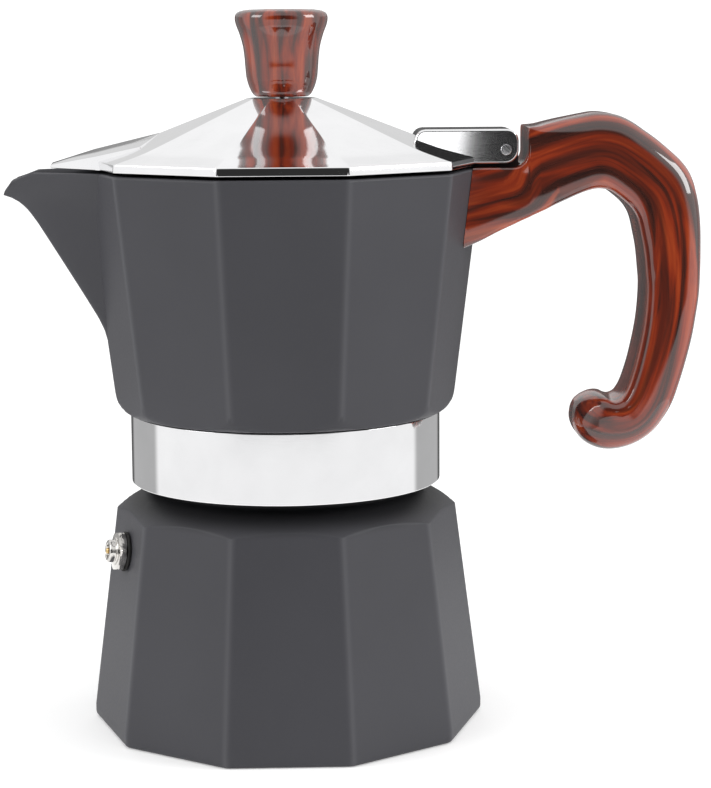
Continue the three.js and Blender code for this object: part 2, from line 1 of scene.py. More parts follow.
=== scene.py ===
"""Ten-sided stovetop coffee maker: the visible pieces and their finishes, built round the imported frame.

Sizes in the classes are millimetres and become metres where a mesh is made. The frame has +Z up, the
spout along -X and the handle along +X, and its origin is the centre of the boiler's flat underside.
"""

import logging
import math
from collections.abc import Iterable, Sequence
from dataclasses import dataclass, field
from enum import Enum

import bmesh
import bpy
import numpy as np
from mathutils import Matrix, Vector
from mathutils.kdtree import KDTree


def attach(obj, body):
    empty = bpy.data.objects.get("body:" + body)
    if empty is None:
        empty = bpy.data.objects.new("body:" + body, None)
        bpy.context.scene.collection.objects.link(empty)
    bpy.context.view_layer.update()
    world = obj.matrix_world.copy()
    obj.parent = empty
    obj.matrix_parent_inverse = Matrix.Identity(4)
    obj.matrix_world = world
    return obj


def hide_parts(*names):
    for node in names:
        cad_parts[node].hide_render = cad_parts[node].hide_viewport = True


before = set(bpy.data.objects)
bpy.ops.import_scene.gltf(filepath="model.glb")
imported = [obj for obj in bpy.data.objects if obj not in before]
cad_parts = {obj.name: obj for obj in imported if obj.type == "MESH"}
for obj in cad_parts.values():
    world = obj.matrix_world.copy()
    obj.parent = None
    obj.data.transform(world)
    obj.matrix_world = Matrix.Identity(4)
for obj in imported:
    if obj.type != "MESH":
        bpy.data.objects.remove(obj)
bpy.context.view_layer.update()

LOG = logging.getLogger("coffee_maker")
MM = 0.001
SIDES = 10
ROUND = 900.0            # a corner radius so large that the facets never touch the shape
WIDE = 60.0              # a round radius so large that the facets cut the whole row
TURN = 2 * math.pi
HINGE = (50.9, 133.65)   # X and Z of the lid's hinge
SCREW_X = 57.0           # X of the screw that holds the handle
Flat = tuple[float, float]
Solid = tuple[float, float, float]
Piece = bpy.types.Object
Finish = bpy.types.Material
Socket = bpy.types.NodeSocket


# ---- Node trees ----


class Graph:
    """Short calls for adding and linking the nodes of any tree."""

    def __init__(self, tree: bpy.types.NodeTree) -> None:
        """Keeps the tree that the calls work on."""
        self.tree = tree

    def node(self, kind: str, inputs: dict[str | int, object] | None = None,
             **settings: object) -> bpy.types.Node:
        """Adds a node.

        Args:
            kind: the node's type name.
            inputs: what its sockets get, by their name or number.
            settings: properties of the node to set.

        Returns:
            The new node.
        """
        made = self.tree.nodes.new(kind)
        for name, value in settings.items():
            setattr(made, name, value)
        for key, value in (inputs or {}).items():
            self.feed(made.inputs[key], value)
        return made

    def feed(self, socket: Socket, value: object) -> None:
        """Links another socket to this one, or sets a plain value on it.

        Args:
            socket: the input socket.
            value: an output socket, or a number, vector, colour or object.
        """
        if isinstance(value, Socket):
            self.tree.links.new(value, socket)
        else:
            socket.default_value = value

    def math(self, operation: str, *values: object) -> Socket:
        """Adds a Math node."""
        return self.node("ShaderNodeMath", dict(enumerate(values)), operation=operation).outputs[0]

    def split(self, vector: Socket) -> Sequence[Socket]:
        """The X, Y and Z of a vector."""
        return self.node("ShaderNodeSeparateXYZ", {0: vector}).outputs

    def vector(self, x: object, y: object, z: object) -> Socket:
        """A vector put together from its parts."""
        return self.node("ShaderNodeCombineXYZ", {0: x, 1: y, 2: z}).outputs[0]

    def away(self, x: Socket, y: Socket) -> Socket:
        """How far a place is from the Z axis."""
        squares = [self.math("POWER", part, 2.0) for part in (x, y)]
        return self.math("SQRT", self.math("ADD", *squares))

    def smooth_step(self, value: object, low: float, high: float) -> Socket:
        """Adds a ramp from 0 at low to 1 at high with soft ends.

        Args:
            value: what is tested.
            low: where the result is 0.
            high: where the result is 1.

        Returns:
            The result, from 0 to 1.
        """
        made = self.node("ShaderNodeMapRange", {"Value": value, "From Min": low, "From Max": high},
                         interpolation_type="SMOOTHSTEP")
        return made.outputs["Result"]


class Surface(Graph):
    """A new material with one shader, and short calls for its pattern nodes."""

    def __init__(self, name: str, **constants: object) -> None:
        """Makes the material.

        Args:
            name: the material's name.
            constants: values set on the shader's own sockets, with _ for a space.
        """
        self.material = bpy.data.materials.new(name)
        self.material.use_nodes = True
        super().__init__(self.material.node_tree)
        self.tree.nodes.clear()
        fixed = {key.replace("_", " "): value for key, value in constants.items()}
        self.shader = self.node("ShaderNodeBsdfPrincipled", fixed)
        self.node("ShaderNodeOutputMaterial", {"Surface": self.shader.outputs[0]})
        self.place = self.node("ShaderNodeTexCoord").outputs["Object"]

    def put(self, socket: str, value: object) -> None:
        """Feeds one of the shader's sockets."""
        self.feed(self.shader.inputs[socket], value)

    def attribute(self, name: str, output: str) -> Socket:
        """Reads a named attribute of the mesh."""
        return self.node("ShaderNodeAttribute", attribute_name=name).outputs[output]

    def stretched(self, vector: Socket, scale: Solid) -> Socket:
        """Scales a vector by axis."""
        return self.node("ShaderNodeMapping", {"Vector": vector, "Scale": scale}).outputs[0]

    def noise(self, vector: Socket, scale: float, detail: float = 2.0,
              distortion: float = 0.0) -> Socket:
        """Adds soft noise."""
        inputs = {"Vector": vector, "Scale": scale, "Detail": detail, "Distortion": distortion}
        return self.node("ShaderNodeTexNoise", inputs).outputs["Fac"]

    def ramp(self, value: Socket, stops: Sequence[tuple[float, Solid]]) -> Socket:
        """Maps a value through colour stops.

        Args:
            value: the value, from 0 to 1.
            stops: (position, linear colour) pairs.

        Returns:
            The colour.
        """
        made = self.node("ShaderNodeValToRGB", {0: value})
        elements = made.color_ramp.elements
        while len(elements) < len(stops):
            elements.new(1.0)
        for element, (position, colour) in zip(elements, stops):
            element.position = position
            element.color = (*colour, 1.0)
        return made.outputs[0]

    def mixed(self, amount: object, first: object, second: object) -> Socket:
        """Mixes two colours.

        Args:
            amount: share of the second one.
            first: a colour or socket.
            second: a colour or socket.

        Returns:
            The mixed colour.
        """
        colours = [(*value, 1.0) if isinstance(value, tuple) else value for value in (first, second)]
        made = self.node("ShaderNodeMix", {0: amount, 6: colours[0], 7: colours[1]}, data_type="RGBA")
        return made.outputs[2]

    def bump(self, height: Socket, depth: float, strength: float = 1.0) -> None:
        """Gives the shader a bump."""
        inputs = {"Height": height, "Distance": depth, "Strength": strength}
        self.put("Normal", self.node("ShaderNodeBump", inputs).outputs[0])


# ---- Finishes ----


class Marks(Enum):
    """What working the metal leaves on it."""

    TURNED = "fine rings round the axis"
    CAST = "the grain of a sand or die casting"
    POLISHED = "hairline scratches"


@dataclass(frozen=True)
class CastPaint:
    """Satin anthracite coating, thinner and paler along the casting's edges, with painted shade on the
    shoulder under the collar.
    """

    name: str = "anthracite_coating"
    colour: Solid = (0.050, 0.050, 0.057)
    edge: Solid = (0.12, 0.12, 0.13)
    # colour of the painted shade that stands in for the collar's shadow on the shoulder
    roughness: float = 0.5
    grain: Solid = (0.12, 0.12, 0.13)
    painted_shade: Solid = (0.006, 0.006, 0.007)
    shoulder: Flat = (0.0500, 0.0540)
    collar: float = 0.057

    def painted_collar_shade(self, look: Surface) -> Socket:
        """Share of painted shade on the boiler's shoulder, darkened in the colour in place of the shadow
        under the collar.
        """
        height = look.split(look.place)[2]
        rising = look.smooth_step(height, *self.shoulder)
        below = look.math("LESS_THAN", height, self.collar)
        return look.math("MULTIPLY", look.math("MULTIPLY", rising, below), 0.9)

    def material(self) -> Finish:
        """Builds the coating: slow tone changes, pale edges, painted shade under the collar and a fine
        grained bump.
        """
        look = Surface(self.name, IOR=1.45, Specular_IOR_Level=0.32)
        cloud = look.noise(look.place, 26.0, 3.0)
        tone = look.ramp(cloud, ((0.3, tuple(0.93 * c for c in self.colour)),
                                 (0.7, tuple(1.07 * c for c in self.colour))))
        speck = look.noise(look.place, 1900.0, 2.0)
        worn = look.math("MULTIPLY", look.attribute("edge", "Fac"), 0.42)
        grains = look.mixed(look.math("MULTIPLY", speck, 0.08), tone, self.grain)
        painted = look.mixed(worn, grains, self.edge)
        # painted shade: the shoulder under the collar is mixed towards near black in the colour itself,
        # standing in for its shadow
        look.put("Base Color", look.mixed(self.painted_collar_shade(look), painted, self.painted_shade))
        look.put("Roughness", look.math("MULTIPLY_ADD", speck, 0.12, self.roughness - 0.06))
        look.bump(look.noise(look.place, 2400.0, 2.0), 0.00003, 0.35)
        return look.material


@dataclass(frozen=True)
class MetalFinish:
    """A bare metal with the marks of how it was worked."""

    name: str
    colour: Solid
    roughness: float
    marks: Marks

    def material(self) -> Finish:
        """Builds the metal from its colour, roughness and marks."""
        look = Surface(self.name, Metallic=1.0)
        cloud = look.noise(look.place, 90.0, 3.0)
        dull = tuple(0.86 * c for c in self.colour)
        if self.marks is Marks.TURNED:
            x, y, z = look.split(look.place)
            along = look.math("ADD", look.away(x, y), z)
            rings = look.node("ShaderNodeTexNoise", {"W": along, "Scale": 2600.0}, noise_dimensions="1D")
            pattern, depth = rings.outputs["Fac"], 0.00002
        elif self.marks is Marks.CAST:
            pattern, depth = look.noise(look.place, 1500.0, 3.0), 0.00006
        else:
            lines = look.stretched(look.place, (260.0, 2400.0, 2400.0))
            pattern, depth = look.noise(lines, 1.0, 3.0), 0.0000012
        look.put("Base Color", look.mixed(cloud, self.colour, dull))
        look.put("Roughness", look.math("MULTIPLY_ADD", pattern, 0.5 * self.roughness,
                                        0.75 * self.roughness))
        look.bump(pattern, depth, 0.5)
        return look.material


@dataclass(frozen=True)
class WoodPattern:
    """Glossy moulding printed with a red-brown flame grain that follows the piece."""

    name: str = "red_wood_pattern"
    dark: Solid = (0.012, 0.004, 0.003)
    brown: Solid = (0.075, 0.013, 0.006)
    red: Solid = (0.27, 0.026, 0.005)
    orange: Solid = (0.52, 0.078, 0.014)
    streak_scale: Solid = (22.0, 330.0, 190.0)
    band_scale: Solid = (16.0, 125.0, 95.0)
    fibre_scale: Solid = (210.0, 3600.0, 2600.0)
    band_depth: float = 0.66
    fibre_depth: float = 0.34

    def material(self) -> Finish:
        """Builds the grain from long streaks, broad dark bands and fine fibres under a clear coat."""
        look = Surface(self.name, Coat_Weight=1.0, Coat_Roughness=0.05, Coat_IOR=1.8,
                       Roughness=0.5, IOR=1.2)
        grain = look.attribute("grain", "Vector")
        streaks = look.noise(look.stretched(grain, self.streak_scale), 1.0, 5.0, 0.7)
        bands = look.noise(look.stretched(grain, self.band_scale), 1.0, 2.0, 1.1)
        fibres = look.noise(look.stretched(grain, self.fibre_scale), 1.0, 2.0)
        colour = look.ramp(streaks, ((0.30, self.dark), (0.42, self.brown), (0.52, self.red),
                                     (0.70, self.orange)))
        shade = look.ramp(bands, ((0.36, (1.0, 1.0, 1.0)), (0.50, (0.0, 0.0, 0.0))))
        colour = look.mixed(look.math("MULTIPLY", shade, self.band_depth), colour, self.dark)
        colour = look.mixed(look.math("MULTIPLY", fibres, self.fibre_depth), colour, self.brown)
        look.put("Base Color", colour)
        look.bump(fibres, 0.00002, 0.12)
        return look.material


@dataclass(frozen=True)
class Matt:
    """A matt mineral or rubber surface with a fine mottle."""

    name: str
    colour: Solid
    roughness: float

    def material(self) -> Finish:
        """Builds the mottle and its bump."""
        look = Surface(self.name, Roughness=self.roughness)
        mottle = look.noise(look.place, 1200.0, 3.0)
        look.put("Base Color", look.mixed(mottle, self.colour, tuple(0.8 * c for c in self.colour)))
        look.bump(mottle, 0.00004, 0.5)
        return look.material


class Finishes:
    """Every finish of the coffee maker, made once."""

    def __init__(self) -> None:
        """Makes the materials."""
        self.paint = CastPaint().material()
        self.wood = WoodPattern().material()
        self.bright, self.lid, self.chrome, self.cast, self.turned, self.steel, self.brass = (
            MetalFinish(*values).material() for values in (
                ("bright_band", (0.90, 0.90, 0.91), 0.05, Marks.POLISHED),
                ("polished_lid", (0.93, 0.93, 0.94), 0.07, Marks.POLISHED),
                ("valve_chrome", (0.72, 0.70, 0.67), 0.12, Marks.CAST),
                ("bare_casting", (0.60, 0.61, 0.62), 0.42, Marks.CAST),
                ("turned_aluminium", (0.66, 0.67, 0.68), 0.30, Marks.TURNED),
                ("turned_steel", (0.50, 0.50, 0.51), 0.26, Marks.TURNED),
                ("turned_brass", (0.72, 0.52, 0.24), 0.28, Marks.TURNED)))
        self.rubber = Matt("gasket_rubber", (0.80, 0.77, 0.70), 0.7).material()
        self.fibre = Matt("fibre_seal", (0.025, 0.024, 0.023), 0.9).material()


# ---- Mesh making ----


@dataclass(frozen=True)
class Row:
    """One level of a turned shape: round radius, height, corner radius of its facets."""

    radius: float
    height: float
    corner: float = ROUND


def new_piece(name: str, points: Iterable[Sequence[float]] = (),
              faces: Iterable[Sequence[int]] = ()) -> Piece:
    """Makes an object at the origin.

    Args:
        name: the piece's name.
        points: its vertices in millimetres.
        faces: its faces as vertex numbers.

    Returns:
        The object, linked to the scene.
    """
    mesh = bpy.data.meshes.new(name)
    mesh.from_pydata([Vector(p) * MM for p in points], [], [tuple(f) for f in faces])
    piece = bpy.data.objects.new(name, mesh)
    bpy.context.scene.collection.objects.link(piece)
    return piece


def even_angles(count: int) -> list[float]:
    """Angles of a plain round wall."""
    return [TURN * i / count for i in range(count)]


def corner_angles(sides: int = SIDES) -> list[float]:
    """Angles of a faceted wall's columns, which crowd round its corners so that they round finely.

    Args:
        sides: how many facets the wall has.

    Returns:
        The angles in radians.
    """
    half = math.pi / sides
    near = [math.radians(a) for a in (0.0, 0.35, 0.75, 1.2, 1.8, 2.6)]
    wide = [half * f for f in (0.32, 0.55, 0.78)]
    right = near + wide
    left = [-a for a in reversed(right[1:])]
    return [k * 2 * half + a for k in range(sides) for a in [*left, *right, half]]


def turned(name: str, rows: Sequence[Row], angles: Sequence[float], looped: bool = False) -> Piece:
    """Turns rows about Z into a closed shape.

    Args:
        name: the piece's name.
        rows: levels from the underside outwards, up and back in; a shape that isn't looped starts and
            ends on the axis.
        angles: where the columns stand.
        looped: whether the last row joins the first, as in a tube.

    Returns:
        The object, with each vertex's facet corner radius in the attribute "corner".
    """
    points: list[Solid] = []
    corners: list[float] = []
    starts: list[int] = []
    for row in rows:
        starts.append(len(points))
        columns = [0.0] if row.radius == 0 else angles
        points += [(row.radius * math.cos(a), row.radius * math.sin(a), row.height) for a in columns]
        corners += [row.corner * MM] * len(columns)
    count = len(angles)
    faces: list[tuple[int, ...]] = []
    last = len(rows) if looped else len(rows) - 1
    for i in range(last):
        above = (i + 1) % len(rows)
        low, high = starts[i], starts[above]
        for j in range(count):
            k = (j + 1) % count
            if rows[i].radius == 0:
                faces.append((low, high + k, high + j))
            elif rows[above].radius == 0:
                faces.append((low + j, low + k, high))
            else:
                faces.append((low + j, low + k, high + k, high + j))
    piece = new_piece(name, points, faces)
    attribute = piece.data.attributes.new("corner", "FLOAT", "POINT")
    attribute.data.foreach_set("value", corners)
    return piece


def baked(piece: Piece) -> Piece:
    """Turns a piece's modifiers into its plain mesh.

    Args:
        piece: the object with modifiers.

    Returns:
        The same object with a plain mesh and no modifiers.
    """
    seen = piece.evaluated_get(bpy.context.evaluated_depsgraph_get())
    mesh = bpy.data.meshes.new_from_object(seen)
    piece.modifiers.clear()
    piece.data = mesh
    return piece


def worked(base: Piece, operation: str, tools: Iterable[Piece]) -> Piece:
    """Joins or cuts with other closed shapes, which are used up.

    Args:
        base: the shape that is kept.
        operation: "UNION" or "DIFFERENCE".
        tools: the other shapes.

    Returns:
        The base.
    """
    for tool in tools:
        modifier = base.modifiers.new("work", "BOOLEAN")
        modifier.operation = operation
        modifier.solver = "MANIFOLD"
        modifier.object = tool
        baked(base)
        bpy.data.objects.remove(tool)
    return base


def joined(base: Piece, other: Piece) -> Piece:
    """Adds the mesh of another object, which is used up.

    Args:
        base: the piece that is kept.
        other: the object to add.

    Returns:
        The base.
    """
    work = bmesh.new()
    work.from_mesh(base.data)
    work.from_mesh(other.data)
    bpy.data.objects.remove(other)
    work.to_mesh(base.data)
    work.free()
    return base


def softened(piece: Piece, width: float, steps: int = 3) -> Piece:
    """Rounds the sharp edges of a simple solid.

    Args:
        piece: the solid.
        width: the rounding in millimetres.
        steps: facets across it.

    Returns:
        The same object.
    """
    modifier = piece.modifiers.new("edges", "BEVEL")
    modifier.width = width * MM
    modifier.segments = steps
    modifier.limit_method = "ANGLE"
    modifier.angle_limit = math.radians(25)
    return baked(piece)


def slab(name: str, outline: Sequence[Flat], half: float) -> Piece:
    """A side view in X and Z as a solid plate.

    Args:
        name: the piece's name.
        outline: (x, z) points, counter-clockwise as seen along +Y.
        half: half its width along Y.

    Returns:
        The object, its faces outwards.
    """
    count = len(outline)
    points = [(x, -half, z) for x, z in outline] + [(x, half, z) for x, z in outline]
    faces = [tuple(range(count)), tuple(range(2 * count - 1, count - 1, -1))]
    faces += [((i + 1) % count, i, i + count, (i + 1) % count + count) for i in range(count)]
    return outwards(new_piece(name, points, faces))


def skinned(name: str, rings: Sequence[Sequence[Solid]]) -> Piece:
    """Joins sections of equal length into a closed solid.

    Args:
        name: the piece's name.
        rings: each section's points, in millimetres.

    Returns:
        The object, its faces outwards.
    """
    wide = len(rings[0])
    points = [point for ring in rings for point in ring]
    faces = []
    for low in range(0, len(points) - wide, wide):
        high = low + wide
        faces += [(low + j, low + (j + 1) % wide, high + (j + 1) % wide, high + j) for j in range(wide)]
    faces += [tuple(range(wide)), tuple(range(len(points) - 1, len(points) - wide - 1, -1))]
    return outwards(new_piece(name, points, faces))


def outwards(piece: Piece) -> Piece:
    """Merges doubled points and turns every face of a closed solid outwards.

    Args:
        piece: the solid.

    Returns:
        The same object.
    """
    work = bmesh.new()
    work.from_mesh(piece.data)
    bmesh.ops.remove_doubles(work, verts=work.verts, dist=1e-7)
    bmesh.ops.recalc_face_normals(work, faces=work.faces)
    work.to_mesh(piece.data)
    work.free()
    return piece


def hull(name: str, points: Iterable[Solid]) -> Piece:
    """The hull round points that are mirrored across Y = 0.

    Args:
        name: the piece's name.
        points: the points on one side.

    Returns:
        The object.
    """
    work = bmesh.new()
    for x, y, z in points:
        for side in {y, -y}:
            work.verts.new(Vector((x, side, z)) * MM)
    found = bmesh.ops.convex_hull(work, input=work.verts)
    spare = [e for e in found["geom_interior"] if isinstance(e, bmesh.types.BMVert)]
    bmesh.ops.delete(work, geom=spare, context="VERTS")
    bmesh.ops.dissolve_limit(work, angle_limit=0.01, verts=work.verts, edges=work.edges)
    bmesh.ops.recalc_face_normals(work, faces=work.faces)
    piece = new_piece(name)
    work.to_mesh(piece.data)
    work.free()
    return piece


def block(low: Solid, high: Solid) -> Piece:
    """A plain cutting block between two corners."""
    outline = [(low[0], low[2]), (high[0], low[2]), (high[0], high[2]), (low[0], high[2])]
    piece = slab("block", outline, (high[1] - low[1]) / 2)
    piece.data.transform(Matrix.Translation((0, (high[1] + low[1]) / 2 * MM, 0)))
    return piece


def drill(radius: float, low: float, high: float, sides: int) -> Piece:
    """An upright cutting cylinder round Z between two heights."""
    rows = [Row(0, low), Row(radius, low), Row(radius, high), Row(0, high)]
    return turned("drill", rows, even_angles(sides))


def on_hinge(piece: Piece) -> Piece:
    """Lays an upright piece along the hinge."""
    place = Matrix.Translation(Vector((HINGE[0], 0, HINGE[1])) * MM)
    piece.data.transform(place @ Matrix.Rotation(math.pi / 2, 4, "X"))
    return piece


def arc(centre: Flat, radius: float, start: float, end: float, steps: int) -> list[Flat]:
    """Points of an arc."""
    angles = np.radians(np.linspace(start, end, steps + 1))
    return [(centre[0] + radius * math.cos(a), centre[1] + radius * math.sin(a)) for a in angles]


def rounded_rows(points: Sequence[Solid], steps: int = 4) -> list[Row]:
    """Rows of a round profile whose corners are rounded.

    Args:
        points: (radius, height, rounding) corners in order; the first and the last stay sharp.
        steps: facets in each rounding.

    Returns:
        The rows.
    """
    rows: list[Row] = []
    for i, (radius, height, rounding) in enumerate(points):
        here = Vector((radius, height))
        if rounding == 0 or i in (0, len(points) - 1):
            rows.append(Row(radius, height))
            continue
        back, ahead = Vector(points[i - 1][:2]) - here, Vector(points[i + 1][:2]) - here
        spots = [here + back.normalized() * min(1.3 * rounding, 0.5 * back.length)]
        for k in range(steps + 1):
            t = k / steps
            soft = min(rounding, 0.45 * back.length), min(rounding, 0.45 * ahead.length)
            spots.append(here + back.normalized() * soft[0] * (1 - t) ** 2
                         + ahead.normalized() * soft[1] * t ** 2)
        spots.append(here + ahead.normalized() * min(1.3 * rounding, 0.5 * ahead.length))
        rows += [Row(spot.x, spot.y) for spot in spots]
    return rows


def spun(name: str, points: Sequence[Solid], sides: int) -> Piece:
    """Turns a profile with rounded corners that starts and ends on the axis."""
    return turned(name, rounded_rows(points), even_angles(sides))


def ring(name: str, points: Sequence[Solid], sides: int) -> Piece:
    """Turns a closed profile with rounded corners that stays clear of the axis."""
    rows = rounded_rows([*points, points[0]])[:-1]
    return turned(name, rows, even_angles(sides), looped=True)


def dressed(piece: Piece, material: Finish, angle: float = 32.0) -> Piece:
    """Gives a piece its material and smooth shading with crisp edges.

    Args:
        piece: the piece.
        material: its material.
        angle: edges sharper than this stay crisp, in degrees.

    Returns:
        The same piece.
    """
    piece.data.materials.clear()
    piece.data.materials.append(material)
    piece.data.shade_smooth()
    piece.data.set_sharp_from_angle(angle=math.radians(angle))
    return piece


def evened(piece: Piece) -> Piece:
    """Makes the shading of large flat faces flat where they meet small round ones."""
    modifier = piece.modifiers.new("normals", "WEIGHTED_NORMAL")
    modifier.weight = 100
    modifier.keep_sharp = True
    return baked(piece)


def settled(piece: Piece, body: str, node: str) -> None:
    """Hands a finished piece to the frame.

    Args:
        piece: the finished piece.
        body: the body that it rides on.
        node: the frame's node that it stands for.
    """
    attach(piece, body)
    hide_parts(node)
    LOG.info("%s: %d faces on %s", piece.name, len(piece.data.polygons), body)


# ---- Geometry Nodes ----


class Pattern(Graph):
    """A Geometry Nodes tree with named inputs, used once for each piece that needs it."""

    def __init__(self, name: str, **inputs: float) -> None:
        """Starts the tree.

        Args:
            name: the tree's name.
            inputs: named number inputs with their first values, with _ for a space.
        """
        super().__init__(bpy.data.node_groups.new(name, "GeometryNodeTree"))
        sockets = self.tree.interface
        sockets.new_socket("Geometry", in_out="INPUT", socket_type="NodeSocketGeometry")
        sockets.new_socket("Finish", in_out="INPUT", socket_type="NodeSocketMaterial")
        for key, value in inputs.items():
            kind = "NodeSocketInt" if isinstance(value, int) else "NodeSocketFloat"
            sockets.new_socket(key.replace("_", " "), in_out="INPUT", socket_type=kind)
        sockets.new_socket("Geometry", in_out="OUTPUT", socket_type="NodeSocketGeometry")
        self.inputs = self.node("NodeGroupInput").outputs
        self.output = self.node("NodeGroupOutput").inputs[0]
        self.first_values = {k.replace("_", " "): v for k, v in inputs.items()}

    def end(self, geometry: Socket) -> None:
        """Ends the tree in Realize Instances and Set Material."""
        real = self.node("GeometryNodeRealizeInstances", {0: geometry})
        dress = self.node("GeometryNodeSetMaterial", {"Geometry": real.outputs[0],
                                                      "Material": self.inputs["Finish"]})
        self.feed(self.output, dress.outputs[0])

    def grow(self, piece: Piece, finish: Finish, **values: float) -> Piece:
        """Runs the tree on a piece and keeps the result as its plain mesh.

        Args:
            piece: the object that the tree works on.
            finish: the material that the tree sets.
            values: inputs that differ from the first values, in the tree's own units.

        Returns:
            The same object.
        """
        modifier = piece.modifiers.new(self.tree.name, "NODES")
        modifier.node_group = self.tree
        wanted = {**self.first_values, **{k.replace("_", " "): v for k, v in values.items()}}
        for item in self.tree.interface.items_tree:
            if item.in_out == "INPUT" and item.name in wanted:
                modifier[item.identifier] = wanted[item.name]
            elif item.in_out == "INPUT" and item.name == "Finish":
                modifier[item.identifier] = finish
        return baked(piece)


class Facets(Pattern):
    """Draws a round wall in to flat facets: each point stops at the facet on its side of the axis."""

    def __init__(self) -> None:
        """Builds the tree; lengths are metres."""
        super().__init__("facets", Sides=SIDES, Edge_Rounding=0.0005, Blend=0.0003, Edge_Width=0.0007)
        x, y, z = self.split(self.node("GeometryNodeInputPosition").outputs[0])
        angle = self.math("ARCTAN2", y, x)
        step = self.math("DIVIDE", TURN, self.inputs["Sides"])
        half = self.math("DIVIDE", step, 2.0)
        turn = self.math("FLOORED_MODULO", angle, step)
        off = self.math("ABSOLUTE", self.math("SUBTRACT", turn, half))
        corner = self.node("GeometryNodeInputNamedAttribute", {"Name": "corner"}, data_type="FLOAT")
        middle = self.math("MULTIPLY", corner.outputs[0], self.math("COSINE", half))
        near = self.math("DIVIDE", middle, self.math("COSINE", off))
        far = self.math("DIVIDE", middle, self.math("COSINE", self.math("SUBTRACT", step, off)))
        facet = self.math("SMOOTH_MIN", near, far, self.inputs["Edge Rounding"])
        away = self.away(x, y)
        reach = self.math("SMOOTH_MIN", away, facet, self.inputs["Blend"])
        scale = self.math("DIVIDE", reach, self.math("MAXIMUM", away, 1e-6))
        moved = self.vector(self.math("MULTIPLY", x, scale), self.math("MULTIPLY", y, scale), z)
        past = self.math("DIVIDE", self.math("SUBTRACT", far, near), self.inputs["Edge Width"])
        edge = self.math("MAXIMUM", self.math("SUBTRACT", 1.0, past), 0.0)
        shown = self.math("MULTIPLY", edge, self.math("GREATER_THAN", away, facet))
        kept = self.node("GeometryNodeStoreNamedAttribute", {
            "Geometry": self.inputs["Geometry"], "Name": "edge", "Value": shown},
            data_type="FLOAT", domain="POINT")
        shaped = self.node("GeometryNodeSetPosition", {"Geometry": kept.outputs[0], "Position": moved})
        self.end(shaped.outputs[0])


class Coil(Pattern):
    """A round wire along a helix, for springs and screw threads."""

    def __init__(self) -> None:
        """Builds the tree; lengths are metres."""
        super().__init__("coil", Radius=0.01, Wire=0.001, Pitch=0.003, Turns=2.0, Bottom=0.0,
                         Steps_Per_Turn=48, Sides=10)
        radius = self.inputs["Radius"]
        height = self.math("MULTIPLY", self.inputs["Turns"], self.inputs["Pitch"])
        line = self.node("GeometryNodeCurveSpiral", {
            "Resolution": self.inputs["Steps Per Turn"], "Rotations": self.inputs["Turns"],
            "Start Radius": radius, "End Radius": radius, "Height": height, "Reverse": True})
        section = self.node("GeometryNodeCurvePrimitiveCircle", {
            "Resolution": self.inputs["Sides"], "Radius": self.inputs["Wire"]})
        wire = self.node("GeometryNodeCurveToMesh", {
            "Curve": line.outputs[0], "Profile Curve": section.outputs[0], "Fill Caps": True})
        lift = self.vector(0.0, 0.0, self.inputs["Bottom"])
        raised = self.node("GeometryNodeTransform", {"Geometry": wire.outputs[0], "Translation": lift})
        self.end(raised.outputs[0])

    def wound(self, name: str, finish: Finish, **values: float) -> Piece:
        """Winds a coil as a new piece."""
        return outwards(self.grow(new_piece(name), finish, **values))


class Perforation(Pattern):
    """Drills a plate with round holes on a field of equal triangles."""

    def __init__(self) -> None:
        """Builds the tree; lengths are metres."""
        super().__init__("perforation", Field_Radius=0.02, Spacing=0.003, Hole_Radius=0.0008, Middle=0.05,
                         Depth=0.004, Count=25)
        count, spacing = self.inputs["Count"], self.inputs["Spacing"]
        gaps = self.math("SUBTRACT", count, 1.0)
        row_gap = self.math("MULTIPLY", spacing, math.sqrt(3) / 2)
        grid = self.node("GeometryNodeMeshGrid", {
            "Size X": self.math("MULTIPLY", gaps, spacing),
            "Size Y": self.math("MULTIPLY", gaps, row_gap),
            "Vertices X": count, "Vertices Y": count})
        x, y, _ = self.split(self.node("GeometryNodeInputPosition").outputs[0])
        odd = self.math("FLOORED_MODULO", self.math("ROUND", self.math("DIVIDE", y, row_gap)), 2.0)
        step = self.math("MULTIPLY", odd, self.math("DIVIDE", spacing, 2.0))
        moved = self.node("GeometryNodeSetPosition", {
            "Geometry": grid.outputs[0], "Offset": self.vector(step, 0.0, self.inputs["Middle"])})
        outside = self.math("GREATER_THAN", self.away(x, y), self.inputs["Field Radius"])
        trimmed = self.node("GeometryNodeDeleteGeometry", {"Geometry": moved.outputs[0],
                                                           "Selection": outside})
        hole = self.node("GeometryNodeMeshCylinder", {
            "Vertices": 14, "Radius": self.inputs["Hole Radius"], "Depth": self.inputs["Depth"]})
        holes = self.node("GeometryNodeInstanceOnPoints", {"Points": trimmed.outputs[0],
                                                           "Instance": hole.outputs[0]})
        solid = self.node("GeometryNodeRealizeInstances", {0: holes.outputs[0]})
        cut = self.node("GeometryNodeMeshBoolean", {"Mesh 1": self.inputs["Geometry"],
                                                    "Mesh 2": solid.outputs[0]},
                        operation="DIFFERENCE", solver="EXACT")
        self.end(cut.outputs[0])


class Patterns:
    """The three node trees, made once."""

    def __init__(self) -> None:
        """Makes the trees."""
        self.facets = Facets()
        self.coil = Coil()
        self.perforation = Perforation()


# ---- Boiler ----


